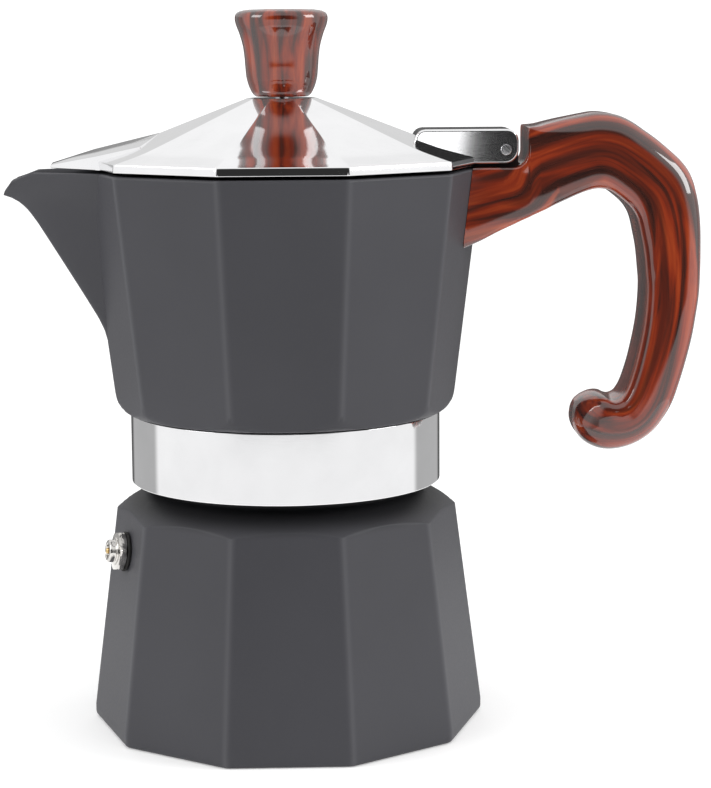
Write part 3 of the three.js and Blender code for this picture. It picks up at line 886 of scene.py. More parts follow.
@dataclass
class Boiler:
    """Ten-sided water chamber with a sloping shoulder and a threaded neck."""

    finishes: Finishes
    patterns: Patterns
    foot: float = 45.9
    foot_top: float = 3.0
    shoulder: Flat = (39.8, 50.5)
    slope: float = 0.61
    neck: float = 31.2
    bore: float = 27.2
    top: float = 68.0

    @property
    def taper(self) -> float:
        """How much the facets' corners draw in for each millimetre of height."""
        return (self.foot - self.shoulder[0]) / (self.shoulder[1] - self.foot_top)

    def corner(self, height: float) -> float:
        """Corner radius of the facets at a height."""
        return self.foot - self.taper * max(height - self.foot_top, 0.0)

    def outside(self) -> list[Row]:
        """Rows from the underside up over the shoulder to the neck."""
        rows = [Row(0, 0.6), Row(33, 0.6), Row(34, 0.15), Row(34.6, 0.0), Row(37.5, 0.0)]
        rows += [Row(WIDE, h, c) for c, h in arc((self.foot - 1.3, 1.3), 1.3, -90, 0, 6)]
        rows += [Row(WIDE, h, self.corner(h)) for h in (1.5, 3.0, 8, 16, 24, 32, 40, 46, 49)]
        for height in np.arange(49.6, 52.61, 0.11):
            cone = self.shoulder[0] + (self.shoulder[1] - height) / self.slope
            rows.append(Row(cone, float(height), self.corner(float(height))))
        meet = self.shoulder[1] + self.slope * (self.shoulder[0] - self.neck)
        rows += rounded_rows([(35.0, 53.43, 0), (self.neck, meet, 0.7), (self.neck, 57.2, 0)])
        return rows

    def neck_rows(self) -> list[Row]:
        """Rows of the neck and the inside."""
        rows = rounded_rows([(self.neck, 57.2, 0), (self.neck, self.top, 0.7), (self.bore, self.top, 0.4),
                             (self.bore, 53.6, 0.8), (35.6, 48.3, 2.0), (40.4, 3.0, 3.0), (0, 3.0, 0)])
        return rows[1:]

    def build(self) -> None:
        """Builds the chamber and its thread and hands it over."""
        shell = turned("boiler_shell", self.outside() + self.neck_rows(), corner_angles())
        self.patterns.facets.grow(shell, self.finishes.paint)
        joined(shell, self.patterns.coil.wound("neck_thread", self.finishes.paint, Wire=0.9 * MM,
                                               Radius=self.neck * MM, Turns=2.25, Bottom=58.6 * MM))
        settled(dressed(shell, self.finishes.paint), "boiler", "boiler")


@dataclass
class SafetyValve:
    """Hexagon body with its nipple, spring-loaded pin, seat and seal, on the left rear facet."""

    finishes: Finishes
    patterns: Patterns
    boiler: Boiler
    height: float = 42.4
    facet: int = 5
    hexagon: float = 4.87

    def place(self) -> Matrix:
        """The transform from the valve's own frame, +Z outwards, to the boiler."""
        angle = (self.facet + 0.5) * TURN / SIDES
        middle = math.cos(math.pi / SIDES)
        tilt = math.atan(self.boiler.taper * middle)
        out = Vector((math.cos(angle) * math.cos(tilt), math.sin(angle) * math.cos(tilt), math.sin(tilt)))
        radius = middle * self.boiler.corner(self.height)
        spot = Vector((radius * math.cos(angle), radius * math.sin(angle), self.height)) * MM
        turn = Vector((0, 0, 1)).rotation_difference(out)
        return Matrix.Translation(spot) @ turn.to_matrix().to_4x4()

    def body(self) -> Piece:
        """Chamfered hexagon, collar and nipple with its opening, over the threaded shank."""
        nut = turned("valve_body_fine", [
            Row(0, 1.05), Row(4.3, 1.05, self.hexagon), Row(9, 1.35, self.hexagon),
            Row(9, 2.25, self.hexagon), Row(5.0, 2.32, self.hexagon), Row(4.5, 2.62, self.hexagon),
            Row(3.9, 2.8), Row(0, 2.8)], corner_angles(6))
        self.patterns.facets.grow(nut, self.finishes.chrome, Sides=6, Edge_Rounding=0.15 * MM,
                                  Blend=0.08 * MM)
        stem = spun("stem", [
            (0, -6.5, 0), (3.2, -6.5, 0.3), (3.2, 1.5, 0.1), (3.25, 2.6, 0.2), (3.25, 3.05, 0.2),
            (2.6, 3.2, 0.15), (2.6, 4.6, 0.45), (1.7, 4.6, 0.15), (1.5, 3.6, 0.1), (0.95, 3.4, 0.1),
            (0.95, -1.0, 0.1), (2.1, -1.2, 0.1), (2.1, -5.9, 0), (0, -5.9, 0)], 40)
        return joined(nut, stem)

    def build(self) -> None:
        """Builds the valve's pieces in its own frame and puts them on the boiler."""
        brass, steel = self.finishes.brass, self.finishes.steel
        body = dressed(self.body(), self.finishes.chrome)
        seal = dressed(ring("valve_seal_fine", [(3.5, 0.25, 0), (4.6, 0.25, 0.2), (4.6, 0.8, 0.2),
                                                (3.5, 0.8, 0)], 40), self.finishes.fibre)
        pin = dressed(spun("valve_pin_fine", [
            (0, -4.85, 0), (1.2, -4.85, 0.3), (1.6, -4.3, 0.15), (1.6, -4.0, 0.1), (0.65, -3.9, 0.1),
            (0.65, 4.75, 0.25), (0.3, 4.95, 0.1), (0, 4.95, 0)], 28), brass)
        seat = dressed(ring("valve_seat_fine", [(0.9, -6.3, 0), (1.8, -6.3, 0.1), (1.8, -5.1, 0.1),
                                                (0.9, -5.1, 0.1)], 28), brass)
        spring = dressed(self.patterns.coil.wound(
            "valve_spring_fine", steel, Radius=1.3 * MM, Wire=0.22 * MM, Pitch=1.3 * MM, Turns=5.0,
            Bottom=-3.7 * MM, Steps_Per_Turn=20), steel)
        place = self.place()
        for piece, ride, slot, node in (
                (body, "boiler", "valve_chrome", "valve_body"), (seal, "boiler", "fibre", "valve_seal"),
                (seat, "boiler", "brass", "valve_seat"), (spring, "boiler", "steel", "valve_spring"),
                (pin, "poppet", "brass", "valve_pin")):
            piece.data.transform(place)
            settled(piece, ride, node)


# ---- Coffee group ----


@dataclass
class CoffeeGroup:
    """Funnel with its strainer, the gasket and the filter plate."""

    finishes: Finishes
    patterns: Patterns
    basket: float = 26.7
    wall: float = 1.0
    floor: float = 48.6

    def funnel(self) -> None:
        """Basket, sloping bottom and stem in one spun shell."""
        inner, stem = self.basket - self.wall, 4.6
        shell = ring("coffee_funnel_fine", [
            (stem - 1, 7.0, 0), (stem, 7.0, 0.3), (stem, 42.0, 0.8), (self.basket, self.floor - 0.6, 1.5),
            (self.basket, 68.3, 0.4), (30.5, 68.3, 0.3), (30.5, 69.3, 0.3), (inner, 69.3, 0.4),
            (inner, self.floor, 1.0), (stem - 1, 43.2, 0.6)], 96)
        settled(dressed(shell, self.finishes.turned), "funnel", "coffee_funnel")

    def strainer(self) -> None:
        """Perforated disc on the basket's floor."""
        low = self.floor + 0.3
        rim = self.basket - self.wall - 0.3
        disc = spun("funnel_strainer_fine", [(0, low, 0), (rim, low, 0), (rim, low + 0.8, 0),
                                             (0, low + 0.8, 0)], 72)
        self.patterns.perforation.grow(disc, self.finishes.turned, Field_Radius=22.0 * MM,
                                       Spacing=3.1 * MM, Hole_Radius=0.62 * MM, Middle=low * MM)
        settled(dressed(disc, self.finishes.turned), "funnel", "funnel_strainer")

    def filter(self) -> None:
        """Perforated plate whose middle dips through the gasket."""
        plate = spun("filter_plate_fine", [
            (0, 70.4, 0), (24.7, 70.4, 0.5), (24.7, 73.5, 0.4), (31, 73.5, 0.2), (31, 74.1, 0.2),
            (24.0, 74.1, 0.5), (24.0, 71.1, 0.4), (0, 71.1, 0)], 96)
        self.patterns.perforation.grow(plate, self.finishes.turned, Field_Radius=21.0 * MM,
                                       Spacing=2.7 * MM, Hole_Radius=0.5 * MM, Middle=70.8 * MM)
        settled(dressed(plate, self.finishes.turned), "filter", "filter_plate")

    def gasket(self) -> None:
        """Moulded ring with rounded edges and a parting bead."""
        seal = ring("gasket_fine", [(25, 69.6, 0), (31.9, 69.6, 0.5), (31.7, 71.4, 0.2),
                                    (31.9, 73.2, 0.5), (25, 73.2, 0.5)], 96)
        settled(dressed(seal, self.finishes.rubber), "gasket", "gasket")

    def build(self) -> None:
        """Builds the four pieces."""
        self.funnel()
        self.strainer()
        self.gasket()
        self.filter()


# ---- Jug ----


@dataclass
class Spout:
    """V-shaped spout in one sheet: a keel that leans out, two flat flanks and a rounded lip."""

    half_angle: float = 24.0
    nose: float = 1.6
    wall: float = 1.7
    inner_nose: float = 0.8
    keel: tuple[Flat, ...] = (
        (-40.2, 85.0), (-40.6, 88.0), (-41.8, 92.4), (-43.1, 95.2), (-46.4, 100.8), (-51.5, 109.2),
        (-54.2, 113.6), (-56.6, 117.5), (-58.6, 120.3), (-60.4, 122.1), (-62.3, 123.2), (-64.2, 124.1),
        (-70.0, 127.5), (-75.0, 131.0))
    lip: tuple[Flat, Flat, Flat] = ((-55.5, 129.4), (-62.0, 129.4), (-64.2, 124.1))

    def keel_at(self, height: float) -> float:
        """How far out the keel is at a height."""
        heights = [z for _, z in self.keel]
        return float(np.interp(height, heights, [x for x, _ in self.keel]))

    def lip_at(self, x: float) -> float:
        """Height of the lip at a place along X."""
        (x0, z0), (x1, _), (x2, z2) = self.lip
        if x >= x0:
            return z0
        if x <= x2:
            return z2 + (x - x2) * 1.1277
        t = np.linspace(0, 1, 40)
        xs = (1 - t) ** 2 * x0 + 2 * t * (1 - t) * x1 + t ** 2 * x2
        zs = (1 - t) ** 2 * z0 + 2 * t * (1 - t) * z0 + t ** 2 * z2
        return float(np.interp(-x, -xs, zs))

    def station(self, part: float, height: float, inset: float, nose: float, depth: float) -> Flat:
        """A point of the level V section.

        Args:
            part: -1 at the left root, 0 at the nose, 1 at the right root.
            height: the section's height.
            inset: how far inside the outer skin it lies.
            nose: rounding of the apex.
            depth: X where the flanks end.

        Returns:
            The point's X and Y.
        """
        alpha = math.radians(self.half_angle)
        sharp = self.keel_at(height) - self.nose * (1 / math.sin(alpha) - 1) + inset / math.sin(alpha)
        centre = sharp + nose / math.sin(alpha)
        sweep = math.pi / 2 - alpha
        share = abs(part)
        side = math.copysign(1.0, part)
        if share <= 0.3:
            turn = sweep * share / 0.3
            return centre - nose * math.cos(turn), side * nose * math.sin(turn)
        x0, y0 = centre - nose * math.cos(sweep), nose * math.sin(sweep)
        along = (depth - x0) * (share - 0.3) / 0.7
        return x0 + along, side * (y0 + along * math.tan(alpha))

    def column(self, part: float, inset: float, nose: float) -> list[Vector]:
        """Points of one column of the sheet from its bottom to the lip.

        Args:
            part: which column, as in station.
            inset: how far inside the outer skin it lies.
            nose: rounding of the apex.

        Returns:
            The points, lowest first.
        """
        bottom, count, depth = 86.0, 44, -38.0
        low, high = bottom, self.lip[0][1]
        for _ in range(30):
            middle = (low + high) / 2
            x, _ = self.station(part, middle, inset, nose, depth)
            low, high = (middle, high) if middle < self.lip_at(x) else (low, middle)
        levels = bottom + (low - bottom) * np.linspace(0, 1, count)
        return [Vector((*self.station(part, float(z), inset, nose, depth), float(z))) for z in levels]

    def sheet(self) -> Piece:
        """The spout's wall as a closed sheet with a rounded lip."""
        right = [0.1, 0.2, 0.3, 0.45, 0.6, 0.8, 1]
        columns: list[list[Solid]] = []
        for part in [*[-p for p in reversed(right)], 0.0, *right]:
            outer = self.column(part, 0.0, self.nose)
            inner = self.column(part, self.wall, self.inner_nose)
            across = inner[-1] - outer[-1]
            soft = min(0.5, across.length * 0.45)
            step = across.normalized() * soft
            drop = Vector((0, 0, soft))
            rim = [outer[-1] + step * along - drop * down
                   for along, down in ((0.08, 0.62), (0.32, 0.26), (0.68, 0.06), (1.0, 0.0))]
            rim += [inner[-1] - step * along - drop * down
                    for along, down in ((1.0, 0.0), (0.6, 0.1), (0.1, 0.55))]
            columns.append([tuple(p) for p in [*outer[:-1], *rim, *reversed(inner[:-1])]])
        return skinned("spout", columns)

    def channel(self) -> Piece:
        """The space inside the spout as a closed solid that reaches through the jug's wall."""
        parts = [-1, -0.7, -0.3, -0.15, 0.0, 0.15, 0.3, 0.7, 1]
        return skinned("channel", [
            [(*self.station(p, float(z), self.wall, self.inner_nose, -34.0), float(z)) for p in parts]
            for z in np.linspace(86, 132, 30)])


@dataclass
class Jug:
    """Ten-sided upper chamber with its spout, threaded collar, hinge lug and bright band."""

    finishes: Finishes
    patterns: Patterns
    spout: Spout = field(default_factory=Spout)
    rim: Flat = (46.09, 129.4)
    waist: Flat = (39.5, 75.9)
    wall: float = 2.9
    floor: float = 79.5
    bore: float = 33.3
    collar: float = 34.7

    def corner(self, height: float) -> float:
        """Corner radius of the facets at a height."""
        taper = (self.rim[0] - self.waist[0]) / (self.rim[1] - self.waist[1])
        return self.rim[0] - taper * (self.rim[1] - height)

    def outside(self) -> list[Row]:
        """Rows from the jug's round lower edge up over the rounded rim."""
        rows = [Row(36.0, 73.82), Row(36.6, 73.85), Row(37.1, 73.98)]
        curve = [(37.6, 74.2), (38.1, 74.55), (38.55, 74.95), (38.95, 75.45), (39.25, 76.05),
                 (39.5, 76.8), (39.75, 77.7), (40.2, 78.8), (41.0, 80.3), (43.0, 83.0)]
        rows += [Row(r, z, self.corner(z)) for r, z in curve]
        rows += [Row(WIDE, z, self.corner(z)) for z in (88.0, 96, 104, 112, 120, 126, 128.6, 128.8)]
        corner, top = self.rim
        inner = corner - self.wall / math.cos(math.pi / SIDES)
        rows += [Row(WIDE, z, c) for c, z in arc((corner - 0.5, top - 0.5), 0.5, 0, 90, 4)]
        rows += [Row(WIDE, z, c) for c, z in arc((inner + 0.4, top - 0.4), 0.4, 90, 180, 3)]
        return rows

    def inside(self) -> list[Row]:
        """Rows of the inside, the floor and the threaded collar."""
        inset = self.wall / math.cos(math.pi / SIDES)
        rows = [Row(WIDE, z, self.corner(z) - inset) for z in (126.0, 112, 98, 86, 83)]
        centre = (self.corner(82) - inset - 3, self.floor + 3)
        rows += [Row(WIDE, z, r) for r, z in arc(centre, 3, 0, -90, 5)]
        rows += rounded_rows([
            (30, self.floor, 0), (5.3, self.floor, 0.2), (5.3, 77.0, 0.2), (6.0, 77.0, 0),
            (24.0, 74.4, 0.5), (self.bore, 74.4, 0.3), (self.bore, 57.1, 0.5), (self.collar, 57.1, 0.3),
            (self.collar, 73.82, 0)])
        return rows

    def lug(self) -> Piece:
        """The hinge lug above the rim with the tang for the handle."""
        outline = [(43.6, 120), (47, 120), (50, 124.5), (65, 124.5), (65, 128.8), (54.0, 128.8),
                   *arc(HINGE, 3.1, 0, 135, 10), (43.6, 129.8)]
        return softened(slab("lug", outline, 3.6), 0.35)

    def band(self) -> None:
        """The bright band round the collar."""
        band = ring("collar_band_fine", [(35, 57.4, 0), (36.0, 57.4, 0.2), (36.0, 73.5, 0.15),
                                         (35, 73.5, 0)], 180)
        settled(dressed(band, self.finishes.bright), "jug", "collar_band")

    def standpipe(self) -> None:
        """The column that the coffee rises through, and its cap with two windows."""
        pipe = ring("standpipe_fine", [
            (3.3, 77.8, 0), (5.0, 77.8, 0.2), (5.0, 79.8, 0), (7.2, 79.8, 0.3), (7.2, 81.5, 0.6),
            (5.6, 84.0, 1.4), (4.6, 112, 0.4), (3.3, 112, 0.3)], 48)
        settled(dressed(pipe, self.finishes.cast), "jug", "standpipe")
        cap = spun("standpipe_cap_fine", [
            (0, 118, 0), (5.0, 116.6, 0.4), (5.0, 106, 0), (6.3, 106, 0.3), (6.3, 117, 1.2),
            (4.4, 119.2, 0.8), (0, 120, 0)], 48)
        worked(cap, "DIFFERENCE", [block((-2.4, -9, 112.4), (2.4, 9, 116.2))])
        settled(dressed(cap, self.finishes.cast), "jug", "standpipe_cap")

    def hinge_pin(self) -> None:
        """Hinge pin with lightly domed ends."""
        pin = on_hinge(spun("hinge_pin_fine", [
            (0, -7.3, 0), (1.28, -7.22, 0.25), (1.28, 7.22, 0.25), (0, 7.3, 0)], 32))
        settled(dressed(pin, self.finishes.steel), "jug", "hinge_pin")

    def build(self) -> None:
        """Builds the casting, its thread, band, column and hinge pin."""
        shell = turned("jug_shell", self.outside() + self.inside(), corner_angles(), looped=True)
        self.patterns.facets.grow(shell, self.finishes.paint)
        outwards(shell)
        worked(shell, "DIFFERENCE", [self.spout.channel()])
        worked(shell, "UNION", [self.spout.sheet(), self.lug()])
        worked(shell, "DIFFERENCE", [on_hinge(drill(1.6, -9, 9, 24))])
        joined(shell, self.patterns.coil.wound("collar_thread", self.finishes.paint, Radius=33.4 * MM,
                                               Wire=0.9 * MM, Turns=2.25, Bottom=60.1 * MM))
        settled(dressed(shell, self.finishes.paint), "jug", "jug")
        self.band()
        self.standpipe()
        self.hinge_pin()


# ---- Handle ----


@dataclass(frozen=True)
class Station:
    """One section of the handle: its outer and inner point, their roundings and half its width."""

    outer: Flat
    inner: Flat
    outer_round: float = 5.2
    inner_round: float = 2.4
    half: float = 9.8


@dataclass
class Handle:
    """Hook handle in one moulding, seated over the jug's tang."""

    finishes: Finishes
    jug: Jug
    stations: tuple[Station, ...] = (
        Station((41, 129.65), (41, 111.4), 0.45, 1.3), Station((45, 129.65), (45, 113.1), 0.45, 1.3),
        Station((49, 129.65), (49.1, 115.2), 0.45, 1.3),
        Station((52.35, 129.65), (52.4, 116.7), 0.45, 1.3),
        Station((53.65, 129.9), (53.6, 117.25), 0.45, 1.5),
        Station((54.75, 130.64), (54.6, 117.7), 0.45, 1.5),
        Station((55.49, 131.75), (55.4, 118.05), 0.45, 1.5),
        Station((55.75, 133.05), (56, 118.3), 0.45, 1.5),
        Station((55.75, 136), (56.6, 118.6), 0.45, 1.5),
        Station((55.8, 138.4), (57.2, 118.9), 0.45, 1.5),
        Station((56.2, 138.8), (57.7, 119.1), 0.5, 1.6),
        Station((57.2, 138.9), (58.6, 119.5), 1.0, 1.6),
        Station((58.6, 139.1), (60.1, 120.2), 1.8, 1.6),
        Station((60.4, 139.6), (62.1, 121.2), 2.6, 1.8),
        Station((63.2, 140.3), (64.6, 122.3), 3.6, 2.0), Station((66, 140.9), (67.1, 123.4), 4.4, 2.1),
        Station((69, 141.5), (69.4, 124.25), 5.0, 2.2), Station((71.5, 141.9), (71.5, 124.7)),
        Station((74.3, 141.75), (73.45, 124.6)), Station((77.1, 141.1), (75.1, 123.95)),
        Station((79.9, 139.75), (76.4, 123.05)), Station((82.6, 137.9), (77.6, 122.1)),
        Station((85.4, 135.9), (78.75, 121.1)), Station((88.2, 133.6), (79.8, 119.9)),
        Station((91, 131.05), (80.75, 118.3)), Station((92.8, 128.8), (81.4, 116.4)),
        Station((94, 126.4), (81.9, 114.1)), Station((94.8, 123.7), (82.5, 111.3)),
        Station((95.5, 120.3), (82.9, 108.6)), Station((95.95, 115.7), (83.25, 105)),
        Station((96.08, 111), (83.5, 102)), Station((96.08, 106), (83.4, 98)),
        Station((95.85, 100), (83.05, 94)), Station((95.15, 94.8), (82.5, 90.4)),
        Station((94.35, 90), (81.8, 87)), Station((93, 84.4), (81, 83.6)),
        Station((91.5, 79.2), (80.1, 80.6)), Station((89.9, 74.6), (79.35, 78.5)),
        Station((87.8, 71), (78.6, 77), 5.0, 2.4), Station((85.6, 68.3), (77.7, 75.9), 4.7, 2.4),
        Station((83.1, 66.4), (76.4, 75.4), 4.4, 2.4),
        Station((80.3, 65), (75.2, 75.7), 4.2, 2.9, 9.75),
        Station((77.3, 64.15), (74.3, 76.2), 4.2, 3.2, 9.55),
        Station((74.5, 63.95), (73.3, 76.5), 4.1, 3.5, 9.2),
        Station((72, 64.4), (72.3, 76.6), 4.0, 3.8, 8.6),
        Station((69.5, 65.7), (71.3, 76.5), 3.8, 3.7, 7.8),
        Station((67.7, 67.8), (70.3, 76.2), 3.4, 3.3, 6.8),
        Station((66.85, 70.3), (69.3, 75.8), 2.6, 2.5, 5.5),
        Station((66.95, 72.6), (68.3, 75.2), 1.3, 1.3, 3.8),
        Station((67.1, 73.6), (67.6, 74.7), 0.5, 0.5, 2.0))
    fineness: int = 4

    def section(self, values: np.ndarray) -> list[Solid]:
        """The rounded section at one place.

        Args:
            values: outer x, z, inner x, z, outer rounding, inner rounding, half width.

        Returns:
            Its points in order round the section.
        """
        outer, inner = Vector(values[0:2]), Vector(values[2:4])
        across = inner - outer
        thick = across.length
        outer_round, inner_round, half = float(values[4]), float(values[5]), float(values[6])
        flat = arc((outer_round, half - outer_round), outer_round, 180, 90, 9)
        flat += arc((thick - inner_round, half - inner_round), inner_round, 90, 0, 5)
        crown = [(outer_round + (thick - outer_round - inner_round) * t, half) for t in (0.33, 0.67)]
        near = flat[:10] + crown + flat[10:]
        ring = near + [(u, -y) for u, y in reversed(near)]
        unit = across.normalized()
        return [(outer.x + unit.x * u, y, outer.y + unit.y * u) for u, y in ring]

    def spine(self) -> np.ndarray:
        """Every section's values, with smooth steps put in between the stations."""
        table = np.array([[*place.outer, *place.inner, place.outer_round, place.inner_round, place.half]
                          for place in self.stations])
        rows = []
        for i in range(len(table) - 1):
            before, start = table[max(i - 1, 0)], table[i]
            end, after = table[i + 1], table[min(i + 2, len(table) - 1)]
            for t in np.arange(self.fineness) / self.fineness:
                rows.append(0.5 * (2 * start + (end - before) * t
                                   + (2 * before - 5 * start + 4 * end - after) * t ** 2
                                   + (3 * start - before - 3 * end + after) * t ** 3))
        return np.array([*rows, table[-1]])

    def moulding(self) -> Piece:
        """The handle's skin before anything is cut from it."""
        return skinned("handle_moulding", [self.section(values) for values in self.spine()])

    def seat(self) -> list[Piece]:
        """The shapes that are cut away for the jug's corner, the lug, the tang and the screw."""
        corner = [Row(0, 100), Row(WIDE, 100, self.jug.corner(100) + 0.12),
                  Row(WIDE, 140, self.jug.corner(140) + 0.12), Row(0, 140)]
        wedge = turned("wedge", corner, corner_angles())
        self.jug.patterns.facets.grow(wedge, self.finishes.wood)
        head, hole = drill(3.9, 112, 122.5, 32), drill(2.3, 113, 125.5, 24)
        for tool in (head, hole):
            tool.data.transform(Matrix.Translation((SCREW_X * MM, 0, 0)))
        slots = [block((40, -3.9, bottom), (end, 3.9, top))
                 for bottom, end, top in ((119.5, 50.5, 135), (124.2, 54.5, 135), (124.2, 65.3, 129.1))]
        return [wedge, *slots, head, hole]

    def build(self) -> None:
        """Builds the handle and its screw."""
        piece = worked(self.moulding(), "DIFFERENCE", self.seat())
        grained(piece, [(Vector(v[0:2]) + Vector(v[2:4])) / 2 for v in self.spine()])
        settled(dressed(piece, self.finishes.wood, 40.0), "jug", "handle")
        screw = slotted_screw("handle_screw_fine", self.finishes.steel, 120.1, 122.2, 128.3, 3.4, 1.9)
        screw.data.transform(Matrix.Translation((SCREW_X * MM, 0, 0)))
        settled(screw, "jug", "handle_screw")


def grained(piece: Piece, middle: Sequence[Vector]) -> None:
    """Stores how the wood grain runs, as distance along and across a line in the XZ plane.

    Args:
        piece: the piece that the grain is on.
        middle: the line as (x, z) points in millimetres.
    """
    ends = [Vector((p.x, 0, p.y)) * MM for p in middle]
    line = [ends[i].lerp(ends[i + 1], k / 6) for i in range(len(ends) - 1) for k in range(6)] + [ends[-1]]
    reach = np.concatenate([[0], np.cumsum([(b - a).length for a, b in zip(line, line[1:])])])
    tree = KDTree(len(line))
    for i, point in enumerate(line):
        tree.insert(point, i)
    tree.balance()
    values = []
    for vertex in piece.data.vertices:
        flat = Vector((vertex.co.x, 0, vertex.co.z))
        spot, i, _ = tree.find(flat)
        ahead = line[min(i + 1, len(line) - 1)] - line[max(i - 1, 0)]
        off = flat - spot
        way = ahead.normalized()
        values += [reach[i] + off.dot(way), off.cross(way).y, vertex.co.y]
    attribute = piece.data.attributes.new("grain", "FLOAT_VECTOR", "POINT")
    attribute.data.foreach_set("vector", values)


def slotted_screw(name: str, finish: Finish, head: float, seat: float, tip: float,
                  head_radius: float, radius: float) -> Piece:
    """A cheese-head screw that points up.

    Args:
        name: the piece's name.
        finish: its material.
        head: height of the head's face.
        seat: height of the head's underside.
        tip: height of the screw's tip.
        head_radius: radius of the head.
        radius: radius of the shank.

    Returns:
        The dressed screw.
    """
    screw = spun(name, [(0, head, 0), (head_radius, head, 0.45), (head_radius, seat, 0.1),
                        (radius, seat, 0.1), (radius, tip, 0.5), (0, tip, 0)], 40)
    worked(screw, "DIFFERENCE", [block((-0.5, -5, head - 1), (0.5, 5, head + 0.9))])
    return dressed(screw, finish)


# ---- Lid ----


@dataclass
class Lid:
    """Polished ten-sided lid with a beak over the spout and a hinge arm."""

    finishes: Finishes
    patterns: Patterns
    skirt: tuple[Flat, Flat] = ((45.9, 130.2), (45.72, 131.95))
    slope: tuple[Flat, ...] = (
        (45.45, 132.12), (43.0, 132.78), (40.0, 133.6), (37.6, 134.3), (34.0, 135.6),
        (30.0, 137.12), (25.8, 138.75), (19.0, 141.38), (12.2, 144.0), (8.6, 145.37))
    wall: float = 1.6
    arm_half: float = 7.0

    def cover(self) -> Piece:
        """The solid pyramid before it is hollowed."""
        (low_r, low), (high_r, high) = self.skirt
        edge = [(low_r - 0.2, low), (low_r - 0.05, low + 0.06), (low_r, low + 0.22),
                (high_r, high - 0.12), (high_r - 0.04, high), (high_r - 0.14, high + 0.1)]
        levels = [*edge, *self.slope, (8.25, 145.53), (7.9, 145.6)]
        rows = [Row(0, low), *[Row(WIDE, z, r) for r, z in levels], Row(7.0, 145.6), Row(0, 145.6)]
        shell = turned("lid_fine", rows, corner_angles())
        return self.patterns.facets.grow(shell, self.finishes.lid, Edge_Rounding=0.22 * MM,
                                         Blend=0.1 * MM)

    def hollow(self) -> Piece:
        """The space under the pyramid."""
        rows = [Row(0, 129), Row(WIDE, 129, 43.9), Row(WIDE, 131.2, 43.7)]
        rows += [Row(WIDE, z - self.wall, r - 0.6) for r, z in self.slope[2:-1]]
        rows += [Row(WIDE, 143.9, 8.0), Row(0, 143.95)]
        space = turned("lid_space", rows, corner_angles())
        return self.patterns.facets.grow(space, self.finishes.lid, Edge_Rounding=0.5 * MM)

    def beak(self, inset: float) -> Piece:
        """The ridge that covers the spout, or the space inside it where there is an inset."""
        low = self.skirt[0][1] - (1.0 if inset else 0.0)
        tip = -53 + 2 * inset
        points = [(-28 + inset, 0, 137.9 - inset), (-43, 0, 134.3 - inset), (tip, 0, 131.2 - 0.6 * inset),
                  (tip, 3.6 - 0.6 * inset, 130.85 - 0.4 * inset), (-42, 12 - inset, 133.1 - inset),
                  (-32, 12 - inset, 135.2 - inset), (tip, 4.2 - 0.6 * inset, low),
                  (-41, 15.6 - inset, low), (-32, 15.6 - inset, low)]
        piece = hull("beak", points)
        return piece if inset else softened(piece, 0.25)

    def arm(self) -> Piece:
        """The solid block of the hinge arm with rounded edges."""
        outline = [*arc((32.5, 136), 2.4, 90, 180, 5), (30.1, 130.45),
                   *arc((50.6, HINGE[1]), 3.2, -90, 0, 10), (53.8, 135.6),
                   *arc((51.1, 135.7), 2.7, 0, 90, 6)]
        return softened(slab("arm", outline, self.arm_half), 0.55, 4)

    def build(self) -> None:
        """Builds the lid."""
        piece = worked(self.cover(), "UNION", [self.arm(), self.beak(0.0)])
        worked(piece, "DIFFERENCE", [
            self.hollow(), self.beak(1.3), block((40, -4, 128), (56, 4, 137.25)),
            block((24, -4, 128), (42, 4, 136.6)), on_hinge(drill(1.4, -9, 9, 28))])
        dressed(piece, self.finishes.lid, 24.0)
        settled(evened(piece), "lid", "lid")


@dataclass
class Knob:
    """Flared knob with its insert, screw and washer."""

    finishes: Finishes
    foot: float = 145.95
    profile: tuple[Flat, ...] = (
        (5.98, 145.95), (6.44, 146.3), (6.82, 146.8), (7.11, 147.3), (7.51, 148.2), (7.81, 149.1),
        (8.12, 150.4), (8.26, 151.8), (8.36, 153.1), (8.45, 154.5), (8.6, 155.9), (8.78, 157.2),
        (9.11, 158.6), (9.66, 160.4), (10.1, 161.5), (10.36, 162.2), (10.55, 163.0), (10.61, 163.6),
        (10.56, 164.1), (10.4, 164.55), (10.05, 164.95), (9.4, 165.25), (8.5, 165.45), (7.3, 165.58),
        (4.0, 165.68), (0.0, 165.7))

    def build(self) -> None:
        """Builds the knob and the small parts that hold it."""
        rows = [Row(0, 157), *rounded_rows([(3.0, 157, 0), (3.0, self.foot, 0.3), (5.2, self.foot, 0)])]
        rows += [Row(r, z) for r, z in self.profile]
        piece = turned("knob_fine", rows, even_angles(96))
        grained(piece, [Vector((0, self.foot)), Vector((0, 155.0)), Vector((0, 166.0))])
        settled(dressed(piece, self.finishes.wood), "lid", "knob")
        insert = ring("knob_insert_fine", [(1.95, 146.25, 0), (2.7, 146.25, 0.15), (2.7, 156.4, 0.15),
                                           (1.95, 156.4, 0.1)], 28)
        settled(dressed(insert, self.finishes.brass), "lid", "knob_insert")
        screw = slotted_screw("knob_screw_fine", self.finishes.steel, 141.1, 142.9, 155.0, 3.3, 1.65)
        settled(screw, "lid", "knob_screw")
        washer = ring("knob_washer_fine", [(2.0, 143.15, 0), (4.4, 143.15, 0.15), (4.4, 143.7, 0.15),
                                           (2.0, 143.7, 0)], 36)
        settled(dressed(washer, self.finishes.steel), "lid", "knob_washer")


# ---- Studio ----


